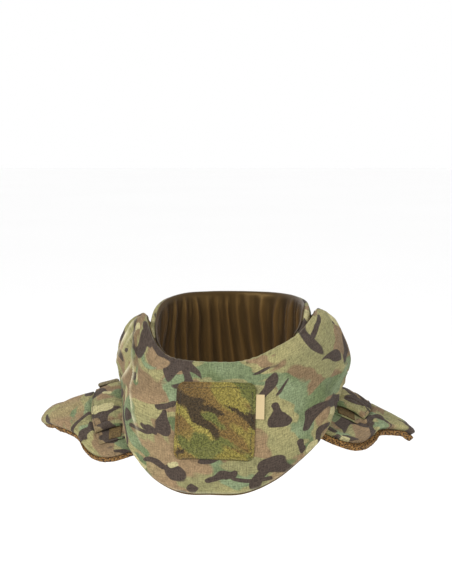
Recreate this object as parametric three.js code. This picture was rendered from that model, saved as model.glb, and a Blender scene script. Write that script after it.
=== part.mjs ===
// A soft-armour neck guard (gorget): a padded throat guard that wraps round the front of the neck,
// a padded collar that stands behind the neck, and two shoulder pads with a tunnel each for a
// vest's shoulder strap. Millimetres, +Z up, the wearer faces -Y and the wearer's left is +X.
// The origin is the middle of the neck, level with the shoulder line that the pads lie on.
import * as THREE from "three";

// Sizes of the throat guard
const wrapRadius = 100; // at which the guard wraps round the neck: its reaches are shares of this
const guardHeight = 120; // from neckline to hem in the middle, which its rises are shares of
const guardThickness = 9; // soft armour panel, foam and cloth
const guardEdge = 3.4; // the same where the cover is sewn shut
const guardEdgeWidth = 12; // how far in from the edge the padding reaches its full thickness

// Sizes of the neck collar
const collarInside = 0.92; // the collar's wall stands inside the guard, at this share of wrapRadius
const collarRadius = wrapRadius * collarInside;
const collarHeight = 100; // from the shoulder line to the rim behind the neck
const collarThickness = 8;
const collarEdge = 3;
const collarEdgeWidth = 9;
const collarSeamDepth = 12; // how far the collar's foot reaches down beside the shoulder pads
const collarFootDrop = 0.3; // the lowest its foot reaches, as a share of its height

// Sizes of the shoulder pads
const shoulderReach = 198; // from the neck's middle to the tip of a pad
const shoulderDrop = 42; // from the shoulder line down to the lower pad's tip
const padCover = 4.6; // camouflage cover with its foam
const padCoverEdge = 2.2;
const padMesh = 7.4; // spacer mesh below the cover
const padMeshEdge = 5;
const padEdgeWidth = 14;

// Sizes of the strap tunnels on the pads
const tunnelInner = 106; // from the neck's middle to a tunnel's inner end, below the throat guard
const tunnelBack = 45; // from the ridge back to the flap's rear edge
const tunnelBaseLedge = 12; // how far the cloth below the flap shows past its front edge
const tunnelClearance = 1.8; // room for the strap below the flap
const flapThickness = 2;
const archRoundness = 0.7; // how boxy the tunnel is: 1 is a plain wave, less is boxier
const flapHem = 1.4; // how much thicker the flap is where its front edge is folded over
const baseThickness = 0.8;
const stripWidth = 17; // strip of hook tape in the tunnel
const stripInset = 5; // from the tunnel's inner end to the strip
const stripEndInset = 2; // from the end of the cloth base to the strip's end
const stripThickness = 0.9;
const tabLength = 22; // webbing tab at the back of the wearer's right tunnel
const tabWidth = 13;
const tabThickness = 4.4;
const tabEdge = 0.55; // its edge, as a share of its thickness
const tabInset = 6; // from the tunnel's outer seam to the tab
const tabStart = 14; // from the ridge back to the tab

// Sizes of what is sewn on
const loopPanelSize = 79;
const loopPanelCorner = 8;
const loopPanelThickness = 2.2;
const labelWidth = 8.4;
const labelHeight = 25;
const labelThickness = 1;
const liningThickness = 1.4;
const liningStand = 1.1; // how far a lining shows past the edge of what it backs
const closureWidth = 26; // hook-and-loop patches that hold the guard on the collar
const closureHeight = 0.25; // as a share of guardHeight
const closureRise = 0.46; // height of their middle, as a share of guardHeight
const closureAngle = 104; // from the front of the neck round to their middle

const gap = 0.35; // between neighbouring pieces
const layGap = 0.55; // between a pad and the cloth that lies over its curve

// Sections of the throat guard by their angle round the neck: 0 in front, positive to the wearer's
// left. Reaches are shares of wrapRadius, rises are shares of guardHeight.
const guardSections = [
  // angle, neckline reach and rise, shoulder reach and rise, belly reach and rise, hem reach and rise
  [-116, 1.03, 0.63, 1.07, 0.53, 1.09, 0.4, 1.06, 0.29],
  [-103, 0.975, 0.71, 1.08, 0.6, 1.14, 0.4, 1.1, 0.23],
  [-90, 0.9, 0.735, 1.08, 0.64, 1.2, 0.38, 1.17, 0.22],
  [-75, 0.9, 0.68, 1.05, 0.56, 1.17, 0.31, 1.18, 0.12],
  [-64, 0.89, 0.56, 1.07, 0.41, 1.2, 0.16, 1.24, -0.03],
  [-56, 0.88, 0.49, 1.1, 0.31, 1.26, 0.05, 1.32, -0.17],
  [-50, 0.87, 0.445, 1.1, 0.25, 1.28, -0.03, 1.37, -0.28],
  [-42, 0.86, 0.42, 1.07, 0.2, 1.24, -0.1, 1.38, -0.41],
  [-32, 0.84, 0.41, 1.04, 0.165, 1.22, -0.17, 1.4, -0.53],
  [-20, 0.82, 0.405, 1.0, 0.13, 1.2, -0.225, 1.42, -0.6],
  [-8, 0.81, 0.405, 0.98, 0.115, 1.18, -0.25, 1.42, -0.595],
  [5, 0.82, 0.41, 0.99, 0.125, 1.18, -0.24, 1.41, -0.59],
  [18, 0.83, 0.445, 1.01, 0.165, 1.19, -0.185, 1.385, -0.505],
  [30, 0.86, 0.51, 1.06, 0.25, 1.23, -0.07, 1.38, -0.365],
  [42, 0.88, 0.57, 1.11, 0.35, 1.28, 0.04, 1.375, -0.215],
  [49, 0.885, 0.605, 1.13, 0.41, 1.3, 0.1, 1.35, -0.1],
  [57, 0.89, 0.65, 1.145, 0.48, 1.29, 0.17, 1.28, -0.03],
  [67, 0.9, 0.715, 1.15, 0.555, 1.285, 0.24, 1.23, 0.06],
  [78, 0.91, 0.76, 1.13, 0.65, 1.285, 0.3, 1.19, 0.12],
  [90, 0.92, 0.775, 1.11, 0.67, 1.27, 0.36, 1.18, 0.18],
  [102, 0.97, 0.755, 1.09, 0.65, 1.18, 0.4, 1.13, 0.23],
  [115, 1.03, 0.68, 1.08, 0.55, 1.1, 0.41, 1.07, 0.29],
];

// Sections of the collar from the wearer's right round the back to the left. Reaches are shares of
// collarRadius, rises are shares of collarHeight, and the foot's rise follows the pads.
const collarSections = [
  // angle, rim reach and rise, middle reach, foot reach
  [-62, 0.85, 0.5, 0.88, 0.92],
  [-76, 0.87, 0.58, 0.91, 0.95],
  [-90, 0.88, 0.66, 0.93, 0.98],
  [-105, 0.93, 0.76, 0.96, 1.0],
  [-124, 1.0, 0.93, 1.01, 1.04],
  [-145, 1.03, 1.0, 1.04, 1.06],
  [-165, 1.04, 1.01, 1.05, 1.07],
  [-180, 1.045, 1.01, 1.055, 1.075],
  [-195, 1.04, 1.01, 1.05, 1.07],
  [-215, 1.03, 1.01, 1.04, 1.06],
  [-236, 0.98, 1.0, 1.01, 1.04],
  [-255, 0.915, 0.97, 0.97, 1.0],
  [-270, 0.875, 0.93, 0.94, 0.98],
  [-284, 0.86, 0.8, 0.91, 0.95],
  [-298, 0.85, 0.7, 0.88, 0.92],
];

// Outline of the shoulder pads by angle round the neck: reaches as shares of shoulderReach. The
// front lobe lies on the collar bone, the tip on the shoulder, and the back lobe mirrors the front.
const padOutline = [
  // angle, reach of the wearer's right pad and of the left
  [44, 0.58, 0.6],
  [50.5, 0.677, 0.72],
  [55, 0.755, 0.775],
  [60, 0.81, 0.805],
  [66, 0.84, 0.82],
  [71, 0.85, 0.83],
  [76, 0.9, 0.84],
  [81, 0.965, 0.9],
  [86, 1.005, 0.98],
  [90, 1.02, 1.01],
  [94, 1.005, 0.98],
  [99, 0.955, 0.89],
  [104, 0.895, 0.825],
  [109, 0.84, 0.82],
  [115, 0.83, 0.81],
  [121, 0.78, 0.785],
  [127, 0.7, 0.74],
  [134, 0.6, 0.66],
  [139, 0.55, 0.58],
];

// Rise of the pads along their ridges over the shoulders, by distance from the neck's middle as a
// share of shoulderReach: rises as shares of shoulderDrop.
const padRidge = [
  // distance, rise of the wearer's right pad and of the left
  [0.4, 0.42, 0.42],
  [0.465, 0.35, 0.3],
  [0.535, 0.25, 0.17],
  [0.6, 0.165, 0.04],
  [0.655, 0.095, -0.09],
  [0.71, 0.03, -0.215],
  [0.775, -0.035, -0.335],
  [0.835, -0.105, -0.46],
  [0.895, -0.2, -0.59],
  [0.95, -0.31, -0.73],
  [0.98, -0.46, -0.88],
  [1.03, -0.72, -1.15],
];

// How each pad hangs over its shoulder: side of the wearer (-1 right, 1 left), its column in the
// two tables above, and the fall to front and back with the width of its ridge. The tunnel's outer
// seam is farthest out at seamPeak in front of and behind the ridge, and bows in from there; its
// mouth is that far in front of the ridge.
const hang = {
  right: {
    side: -1,
    column: 1,
    fall: 25,
    ridgeWidth: 29,
    seamReach: 145,
    seamPeak: 22,
    seamBow: 0.0065,
    mouth: 60,
  },
  left: {
    side: 1,
    column: 2,
    fall: 13,
    ridgeWidth: 27,
    seamReach: 150,
    seamPeak: 0,
    seamBow: 0.0064,
    mouth: 43,
  },
};

const radians = THREE.MathUtils.degToRad;

// A value that runs smoothly through a column of a table, by the table's first column.
function along(table, key, column) {
  const rising = table[table.length - 1][0] > table[0][0];
  let i = table.findIndex((row) => (rising ? row[0] >= key : row[0] <= key));
  i = THREE.MathUtils.clamp(i < 0 ? table.length - 1 : i, 1, table.length - 1);
  const row = (n) => table[THREE.MathUtils.clamp(n, 0, table.length - 1)];
  const [a, b, c, d] = [row(i - 2), row(i - 1), row(i), row(i + 1)];
  const t = THREE.MathUtils.clamp((key - b[0]) / (c[0] - b[0]), 0, 1);
  const slope = (from, to) => (to[column] - from[column]) / (to[0] - from[0]);
  const before = i > 1 ? slope(a, c) : slope(b, c);
  const after = i < table.length - 1 ? slope(b, d) : slope(b, c);
  const span = c[0] - b[0];
  const t2 = t * t;
  const t3 = t2 * t;
  return (
    (2 * t3 - 3 * t2 + 1) * b[column] +
    (t3 - 2 * t2 + t) * span * before +
    (3 * t2 - 2 * t3) * c[column] +
    (t3 - t2) * span * after
  );
}

// A point at an angle round the neck, a reach from its middle and a rise.
function aroundNeck(angle, reach, rise) {
  const a = radians(angle);
  return new THREE.Vector3(Math.sin(a) * reach, -Math.cos(a) * reach, rise);
}

// The throat guard's outer face: angle round the neck, and v from 0 at the neckline to 1 at the hem.
function guardFace(angle, v) {
  const value = (column, size) => along(guardSections, angle, column) * size;
  const section = new THREE.SplineCurve([
    new THREE.Vector2(value(1, wrapRadius), value(2, guardHeight)),
    new THREE.Vector2(value(3, wrapRadius), value(4, guardHeight)),
    new THREE.Vector2(value(5, wrapRadius), value(6, guardHeight)),
    new THREE.Vector2(value(7, wrapRadius), value(8, guardHeight)),
  ]);
  const p = section.getPoint(THREE.MathUtils.clamp(v, 0, 1));
  return aroundNeck(angle, p.x, p.y);
}

// Height of a pad's top face over the shoulder line.
function padRise(pad, x, y) {
  const ridge = along(padRidge, Math.abs(x) / shoulderReach, pad.column) * shoulderDrop;
  return ridge - pad.fall * (Math.sqrt(1 + (y / pad.ridgeWidth) ** 2) - 1);
}

// Where a pad begins: just outside the collar's foot at that angle.
function padInnerReach(pad, angle) {
  const collarAngle = pad.side < 0 ? -angle : angle - 360;
  return along(collarSections, collarAngle, 4) * collarRadius + collarThickness / 2 + gap;
}

// A pad's top face: angle from its front end to its back end, and w from 0 at the collar to 1 at
// its edge.
function padFace(pad, angle, w) {
  const inner = padInnerReach(pad, angle);
  const reach = inner + (along(padOutline, angle, pad.column) * shoulderReach - inner) * w;
  const a = radians(angle);
  const x = pad.side * Math.sin(a) * reach;
  const y = -Math.cos(a) * reach;
  return new THREE.Vector3(x, y, padRise(pad, x, y));
}

// A pad's top face by plan position.
function padFaceAt(pad, x, y) {
  return new THREE.Vector3(x, y, padRise(pad, x, y));
}

// The pad that lies beside an angle of the collar, and the height of the seam with it. Behind the
// neck, between the two pads, the foot runs from one to the other.
function collarFootRise(angle, reach) {
  const p = aroundNeck(angle, reach, 0);
  const right = padRise(hang.right, Math.max(collarRadius * 0.8, -p.x), p.y);
  const left = padRise(hang.left, Math.max(collarRadius * 0.8, p.x), p.y);
  const share = THREE.MathUtils.smoothstep(p.x, -collarRadius / 2, collarRadius / 2);
  return Math.max(right + (left - right) * share - collarSeamDepth, -collarHeight * collarFootDrop);
}

// The collar's outer face: angle round the neck, and v from 0 at the rim to 1 at the foot.
function collarFace(angle, v) {
  const rim = along(collarSections, angle, 1) * collarRadius;
  const middle = along(collarSections, angle, 3) * collarRadius;
  const foot = along(collarSections, angle, 4) * collarRadius;
  const top = along(collarSections, angle, 2) * collarHeight;
  const bottom = collarFootRise(angle, foot);
  const wall = collarThickness / 2;
  const section = new THREE.SplineCurve([
    new THREE.Vector2(rim + wall, top),
    new THREE.Vector2(middle + wall, (top + bottom) / 2),
    new THREE.Vector2(foot + wall, bottom),
  ]);
  const p = section.getPoint(THREE.MathUtils.clamp(v, 0, 1));
  return aroundNeck(angle, p.x, p.y);
}

// Steps from 0 to 1 with one close to each end, so that a sewn edge is rounded.
function edgeSteps(count, edge) {
  const inner = Array.from({ length: count - 1 }, (_, i) => edge + ((1 - 2 * edge) * i) / (count - 2));
  return [0, ...inner, 1];
}

// The outward normal of a face, from nearby points of it.
function normalOf(face, u, v, inward) {
  const d = 0.004;
  const du = face(Math.min(1, u + d), v).sub(face(Math.max(0, u - d), v));
  const dv = face(u, Math.min(1, v + d)).sub(face(u, Math.max(0, v - d)));
  return du.cross(dv).normalize().multiplyScalar(inward ? -1 : 1);
}

// The closed body between an outer and an inner face, each a point at u and v.
function shell(outer, inner, steps, flipped) {
  const [us, vs] = steps;
  const [top, bottom] = [outer, inner].map((face) => us.map((u) => vs.map((v) => face(u, v))));
  const positions = [];
  const triangle = (a, b, c) => (flipped ? positions.push(a, c, b) : positions.push(a, b, c));
  const quad = (a, b, c, d) => {
    triangle(a, b, c);
    triangle(a, c, d);
  };
  const lastU = us.length - 1;
  const lastV = vs.length - 1;
  for (let i = 0; i < lastU; i++) {
    for (let j = 0; j < lastV; j++) {
      quad(top[i][j], top[i + 1][j], top[i + 1][j + 1], top[i][j + 1]);
      quad(bottom[i][j], bottom[i][j + 1], bottom[i + 1][j + 1], bottom[i + 1][j]);
    }
    quad(top[i + 1][0], top[i][0], bottom[i][0], bottom[i + 1][0]);
    quad(top[i][lastV], top[i + 1][lastV], bottom[i + 1][lastV], bottom[i][lastV]);
  }
  for (let j = 0; j < lastV; j++) {
    quad(top[0][j], top[0][j + 1], bottom[0][j + 1], bottom[0][j]);
    quad(top[lastU][j + 1], top[lastU][j], bottom[lastU][j], bottom[lastU][j + 1]);
  }
  return new THREE.BufferGeometry().setFromPoints(positions);
}

// A face moved out along its normal by an offset at each u and v.
function raised(face, offset, flipped) {
  return (u, v) => face(u, v).addScaledVector(normalOf(face, u, v, flipped), offset(u, v));
}

// A closed padded sheet over a face: above and below give its two skins' heights over the face.
function quilt(face, steps, above, below, flipped) {
  return shell(raised(face, above, flipped), raised(face, below, flipped), steps, flipped);
}

// A face whose first and last row are moved past its border by a margin.
function withMargin(face, margin) {
  return (u, v) => {
    const p = face(u, v);
    if (v > 0 && v < 1) return p;
    const before = face(u, v === 0 ? 0.02 : 0.98);
    return p.clone().addScaledVector(p.clone().sub(before).normalize(), margin);
  };
}

// How full a padded sheet is at a distance from its edge: 0 at the seam, 1 past the edge's width.
function fullness(distance, width) {
  const t = THREE.MathUtils.clamp(distance / width, 0, 1);
  return Math.sqrt(1 - (1 - t) ** 2);
}

// Distance of u and v from the border of a sheet of that length and height.
function fromBorder(u, v, length, height) {
  return Math.min(Math.min(u, 1 - u) * length, Math.min(v, 1 - v) * height);
}

const materials = {
  camouflage: new THREE.MeshStandardMaterial({ color: "#8b8455", roughness: 0.9, metalness: 0 }),
  spacerMesh: new THREE.MeshStandardMaterial({ color: "#7a5526", roughness: 0.95, metalness: 0 }),
  liningCloth: new THREE.MeshStandardMaterial({ color: "#4a3418", roughness: 0.6, metalness: 0 }),
  loopTape: new THREE.MeshStandardMaterial({ color: "#6f6a35", roughness: 1, metalness: 0 }),
  hookTape: new THREE.MeshStandardMaterial({ color: "#6b5524", roughness: 0.95, metalness: 0 }),
  label: new THREE.MeshStandardMaterial({ color: "#e9d9a0", roughness: 0.7, metalness: 0 }),
};

const gorget = new THREE.Group();

function add(name, geometry, material) {
  const mesh = new THREE.Mesh(geometry, material.clone());
  mesh.name = name;
  gorget.add(mesh);
}

// The throat guard and its lining
const guardFirst = guardSections[0][0];
const guardLast = guardSections[guardSections.length - 1][0];
const guardAngle = (u) => guardFirst + (guardLast - guardFirst) * u;
const guardLength = radians(guardLast - guardFirst) * wrapRadius;
const guardSheet = (u, v) => guardFace(guardAngle(u), v);

function guardFill(u, v) {
  return fullness(fromBorder(u, v, guardLength, guardHeight), guardEdgeWidth);
}

function guardInner(u, v) {
  return -guardEdge - (guardThickness - guardEdge) * guardFill(u, v);
}

const guardSteps = [edgeSteps(35, 0.01), edgeSteps(10, 0.03)];

function buildThroatGuard() {
  const roll = (u, v) => -guardEdge * 0.35 * (1 - guardFill(u, v));
  add("throat_guard", quilt(guardSheet, guardSteps, roll, guardInner, true), materials.camouflage);
}

// The lining follows the guard's inner face, a little past the neckline and hem.
const guardLiningTop = (u, v) => guardInner(u, v) - gap;
const guardLiningBottom = (u, v) => guardInner(u, v) - gap - liningThickness;

function buildGuardLining() {
  const sheet = withMargin(guardSheet, liningStand);
  const geometry = quilt(sheet, guardSteps, guardLiningTop, guardLiningBottom, true);
  add("guard_lining", geometry, materials.liningCloth);
}

// The collar and its lining
const collarFirst = collarSections[0][0];
const collarLast = collarSections[collarSections.length - 1][0];
const collarAngle = (u) => collarLast + (collarFirst - collarLast) * u;
const collarLength = radians(collarFirst - collarLast) * collarRadius;
const collarSheet = (u, v) => collarFace(collarAngle(u), v);

function collarFill(u, v) {
  return fullness(fromBorder(u, v, collarLength, collarHeight), collarEdgeWidth);
}

const collarSteps = [edgeSteps(32, 0.01), edgeSteps(7, 0.035)];
const collarSpare = (collarThickness - collarEdge) / 2;

function buildCollar() {
  const top = (u, v) => -collarSpare * (1 - collarFill(u, v));
  const bottom = (u, v) => -collarThickness + collarSpare * (1 - collarFill(u, v));
  add("neck_collar", quilt(collarSheet, collarSteps, top, bottom, true), materials.camouflage);
}

// The collar's lining lies in soft upright folds.
const liningFolds = 10;
const liningFoldDepth = 1.6;

function buildCollarLining() {
  const wave = (u) => (1 + Math.cos(2 * Math.PI * liningFolds * u)) / 2;
  const fold = (u, v) => liningFoldDepth * wave(u) * Math.sin(Math.PI * v);
  const top = (u, v) => -collarThickness + collarSpare * (1 - collarFill(u, v)) - gap;
  const bottom = (u, v) => top(u, v) - liningThickness - fold(u, v);
  const sheet = withMargin(collarSheet, liningStand);
  add("collar_lining", quilt(sheet, collarSteps, top, bottom, true), materials.liningCloth);
}

// The shoulder pads: a camouflage cover over a thick spacer mesh
const padFirst = padOutline[0][0];
const padLast = padOutline[padOutline.length - 1][0];
const padDepth = shoulderReach - collarRadius;
const upright = new THREE.Vector3(0, 0, 1);
const uprightWidth = 0.35; // share of a pad's reach in which its layers turn from upright

function buildShoulderPad(pad, name) {
  const sheet = (u, w) => padFace(pad, padFirst + (padLast - padFirst) * u, w);
  const border = (u, w) => Math.min(Math.min(u, 1 - u) * 2 * padDepth, (1 - w) * padDepth);
  const fill = (u, w) => fullness(border(u, w), padEdgeWidth);
  const flipped = pad.side > 0;
  const steps = [edgeSteps(18, 0.02), [0, 0.2, 0.42, 0.64, 0.82, 0.93, 0.98, 1]];
  const crown = (u, w) => (fill(u, w) - 1) * (padCover - padCoverEdge);
  const coverBelow = () => -padCover;
  const meshAbove = () => -padCover - gap;
  const meshBelow = (u, w) => -padCover - gap - padMeshEdge - (padMesh - padMeshEdge) * fill(u, w);
  // Beside the collar the layers lie straight below each other, farther out along the normal.
  const layer = (offset) => (u, w) => {
    const uprightShare = 1 - THREE.MathUtils.smoothstep(w, 0, uprightWidth);
    const outward = normalOf(sheet, u, w, flipped).lerp(upright, uprightShare).normalize();
    return sheet(u, w).addScaledVector(outward, offset(u, w));
  };
  const cover = shell(layer(crown), layer(coverBelow), steps, flipped);
  const mesh = shell(layer(meshAbove), layer(meshBelow), steps, flipped);
  add("shoulder_pad_" + name, cover, materials.camouflage);
  add("mesh_pad_" + name, mesh, materials.spacerMesh);
}

// The tunnel for the vest's shoulder strap: a cloth base on the pad, a strip of hook tape and a flap
// that arches over them, sewn down along its outer and inner ends.
function buildTunnel(pad, name) {
  const flipped = pad.side < 0;
  const seamAt = (y) => pad.seamReach - pad.seamBow * (Math.abs(y) - pad.seamPeak) ** 2;
  const cloth = (first, last, across) => (u, v) => {
    const y = first + (last - first) * v;
    return padFaceAt(pad, pad.side * across(u, y), y);
  };
  const full = (u, y) => tunnelInner + (seamAt(y) - tunnelInner) * u;
  const narrow = (u) => tunnelInner + stripInset + stripWidth * u;
  const baseFront = -pad.mouth - tunnelBaseLedge;
  const base = cloth(baseFront, tunnelBack, full);
  const strip = cloth(baseFront + stripEndInset, tunnelBack - stripEndInset, narrow);
  const flap = cloth(-pad.mouth, tunnelBack, full);
  const floor = layGap + baseThickness;
  const stripTop = floor + gap + stripThickness;
  const arch = (u) => Math.sin(Math.PI * u) ** archRoundness;
  const under = (u) => floor + gap + (stripThickness + tunnelClearance) * arch(u);
  const over = (u, v) => under(u) + flapThickness + flapHem * Math.max(0, 1 - v / 0.09);
  const baseSteps = [evenSteps(4, 0), evenSteps(15, 0)];
  const stripSteps = [evenSteps(3, 0), evenSteps(15, 0)];
  const archSteps = [0, 0.08, 0.2, 0.35, 0.65, 0.8, 0.92, 1];
  const flapSteps = [archSteps, [0, 0.04, 0.09, ...evenSteps(11, 0.17), 1]];
  const baseCloth = quilt(base, baseSteps, () => floor, () => layGap, flipped);
  const hookTape = quilt(strip, stripSteps, () => stripTop, () => floor + gap, flipped);
  add("tunnel_base_" + name, baseCloth, materials.camouflage);
  add("hook_strip_" + name, hookTape, materials.hookTape);
  add("strap_flap_" + name, quilt(flap, flapSteps, over, under, flipped), materials.camouflage);
}

// The short webbing tab that lies folded over the back of the wearer's right tunnel.
function buildRearTab() {
  const pad = hang.right;
  const outer = pad.seamReach - tabInset;
  const floor = layGap + gap + baseThickness + stripThickness + tunnelClearance + flapThickness;
  const sheet = (u, v) =>
    padFaceAt(pad, pad.side * (outer - tabLength * (1 - u)), tabStart + tabWidth * v);
  const border = (u, v) => fromBorder(u, v, tabLength, tabWidth);
  const edge = tabThickness * tabEdge;
  const top = (u, v) => floor + gap + edge + (tabThickness - edge) * fullness(border(u, v), tabThickness);
  const bottom = () => floor + gap;
  const steps = [edgeSteps(6, 0.08), edgeSteps(5, 0.1)];
  add("rear_tab_right", quilt(sheet, steps, top, bottom, true), materials.camouflage);
}

// The point of the guard's outer face that lies at a distance across and up from a middle point,
// found by steps along the face.
function guardSpot(angle, v, across, up) {
  let a = angle;
  let w = v;
  const d = 0.01;
  const middle = guardFace(angle, v);
  const right = guardFace(angle + d, v).sub(guardFace(angle - d, v)).setZ(0).normalize();
  const rise = guardFace(angle, v - d).sub(guardFace(angle, v + d)).normalize();
  rise.addScaledVector(right, -rise.dot(right)).normalize();
  for (let i = 0; i < 8; i++) {
    const p = guardFace(a, w);
    const offset = p.clone().sub(middle);
    const miss = [across - offset.dot(right), up - offset.dot(rise)];
    const pa = guardFace(a + d, w).sub(p).divideScalar(d);
    const pw = guardFace(a, w + d).sub(p).divideScalar(d);
    const [m, n, o, q] = [pa.dot(right), pw.dot(right), pa.dot(rise), pw.dot(rise)];
    const det = m * q - n * o;
    a += (miss[0] * q - miss[1] * n) / det;
    w += (miss[1] * m - miss[0] * o) / det;
  }
  return guardFace(a, w);
}

// A patch on the guard's outer face, square to the panel, with rounded corners.
function guardPatch(middle, width, height, corner, thickness, counts) {
  const inset = (t, other, size, otherSize) => {
    const edge = Math.min(other, 1 - other) * otherSize;
    const cut = corner > edge ? corner - Math.sqrt(Math.max(0, corner ** 2 - (corner - edge) ** 2)) : 0;
    return (t - 0.5) * (size - 2 * cut);
  };
  const sheet = (u, v) => {
    const across = middle.across + inset(u, v, width, height);
    return guardSpot(middle.angle, middle.v, across, middle.up + (v - 0.5) * height);
  };
  const turned = [0, 0.015, 0.05, ...evenSteps(counts[1], 0.1), 0.95, 0.985, 1];
  const rounded = corner > 0 ? turned : evenSteps(counts[1], 0);
  const top = () => gap + thickness;
  return quilt(sheet, [evenSteps(counts[0], 0), rounded], top, () => gap, false);
}

function evenSteps(count, edge) {
  return Array.from({ length: count + 1 }, (_, i) => edge + ((1 - 2 * edge) * i) / count);
}

const panelMiddle = { angle: -7.5, v: 0.5, across: -0.8, up: 0 };

function buildLoopPanel() {
  const size = loopPanelSize;
  const geometry = guardPatch(panelMiddle, size, size, loopPanelCorner, loopPanelThickness, [10, 8]);
  add("loop_panel", geometry, materials.loopTape);
}

function buildLabel() {
  const across = panelMiddle.across + (loopPanelSize + labelWidth) / 2 + gap / 4;
  const middle = { ...panelMiddle, across, up: labelHeight * 0.62 };
  const geometry = guardPatch(middle, labelWidth, labelHeight, 0, labelThickness, [2, 5]);
  add("side_label", geometry, materials.label);
}

// The hook-and-loop patches between the guard's ends and the outside of the collar, filling the
// room between them.
function buildClosure(side, name) {
  const angle = side * closureAngle;
  const halfSpread = THREE.MathUtils.radToDeg(closureWidth / 2 / wrapRadius);
  const guardBack = raised(guardSheet, (u, v) => guardLiningBottom(u, v) - 3 * gap, true);
  const collarFront = raised(collarSheet, () => 2 * gap, true);
  // Where a wall passes an angle and a rise, by halving, with the angle mended after each turn.
  const point = (wall) => (u, v) => {
    const wanted = angle + halfSpread * (2 * u - 1);
    const rise = guardHeight * (closureRise + closureHeight * (0.5 - v));
    let a = wanted;
    let p = wall(a, 0);
    for (let turn = 0; turn < 4; turn++) {
      let [low, high] = [0, 1];
      for (let i = 0; i < 18; i++) {
        const middle = (low + high) / 2;
        [low, high] = wall(a, middle).z > rise ? [middle, high] : [low, middle];
      }
      p = wall(a, low);
      a += wanted - THREE.MathUtils.radToDeg(Math.atan2(p.x, -p.y));
    }
    return p;
  };
  const collarTurn = (a) => ((a > 0 ? a - 360 : a) - collarLast) / (collarFirst - collarLast);
  const outer = point((a, w) => guardBack((a - guardFirst) / (guardLast - guardFirst), w));
  const inner = point((a, w) => collarFront(collarTurn(a), w));
  const steps = [evenSteps(4, 0), evenSteps(4, 0)];
  add("closure_" + name, shell(outer, inner, steps, true), materials.hookTape);
}

buildThroatGuard();
buildGuardLining();
buildCollar();
buildCollarLining();
for (const [name, pad] of Object.entries(hang)) {
  buildShoulderPad(pad, name);
  buildTunnel(pad, name);
}
buildRearTab();
buildLoopPanel();
buildLabel();
buildClosure(-1, "right");
buildClosure(1, "left");

export default gorget;
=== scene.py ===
"""A soft-armour neck guard in its cloth covers.

A padded throat guard wraps round the front of the neck opening, a padded collar stands behind it, and
two shoulder pads with a strap tunnel each lie beside them. The shapes are worked out in millimetres,
as on a cutting table, and turned into metres when a mesh is made. Left and right are as worn: the
front faces -Y and the left is +X.
"""

import sys

import logging
import math
from collections.abc import Callable, Iterable
from dataclasses import dataclass
from enum import Enum
from typing import ClassVar

import bpy
import numpy as np
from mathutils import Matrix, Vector
from mathutils.bvhtree import BVHTree


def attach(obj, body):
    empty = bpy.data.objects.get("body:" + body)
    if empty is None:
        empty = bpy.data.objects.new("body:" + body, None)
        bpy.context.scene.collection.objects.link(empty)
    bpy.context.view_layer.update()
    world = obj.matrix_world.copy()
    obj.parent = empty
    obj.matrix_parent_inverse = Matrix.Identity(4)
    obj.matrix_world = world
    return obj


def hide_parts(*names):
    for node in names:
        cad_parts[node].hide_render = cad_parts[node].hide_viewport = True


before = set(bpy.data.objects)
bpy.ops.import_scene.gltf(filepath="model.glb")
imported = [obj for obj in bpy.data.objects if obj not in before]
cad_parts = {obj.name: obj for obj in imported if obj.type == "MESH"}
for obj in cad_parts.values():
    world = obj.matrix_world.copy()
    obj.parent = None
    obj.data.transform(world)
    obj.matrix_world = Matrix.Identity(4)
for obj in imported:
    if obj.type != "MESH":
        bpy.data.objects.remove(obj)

log = logging.getLogger("gorget")

Array = np.ndarray
Piece = bpy.types.Object
Material = bpy.types.Material
Face = Callable[[Array, Array], Array]  # points or heights, by shares along and across a cloth
Relief = Callable[[Array, Array, Array, Array], Array]
Triple = tuple[float, float, float]
Colour = tuple[float, float, float, float]

MM = 0.001
GAP = 0.35  # millimetres between layers that are sewn together
LAY_GAP = 0.55  # millimetres between a pad's cover and the cloth laid on it
BODY = "root"
TONE = 0.84  # tones each colour down for the bright studio
TURNED = [0, 3, 2, 1]  # a quad's corners the other way round
AHEAD, BACK = [0, 1, 2, 3], [1, 0, 3, 2]  # a rim's corners along its line and against it


class Side(Enum):
    """A side of the guard as worn, by the sign of its X."""

    RIGHT = -1
    LEFT = 1

    @property
    def word(self) -> str:
        """The side's name, as the pieces are named."""
        return self.name.lower()


# ---------------------------------------------------------------- tables of the cut

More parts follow.
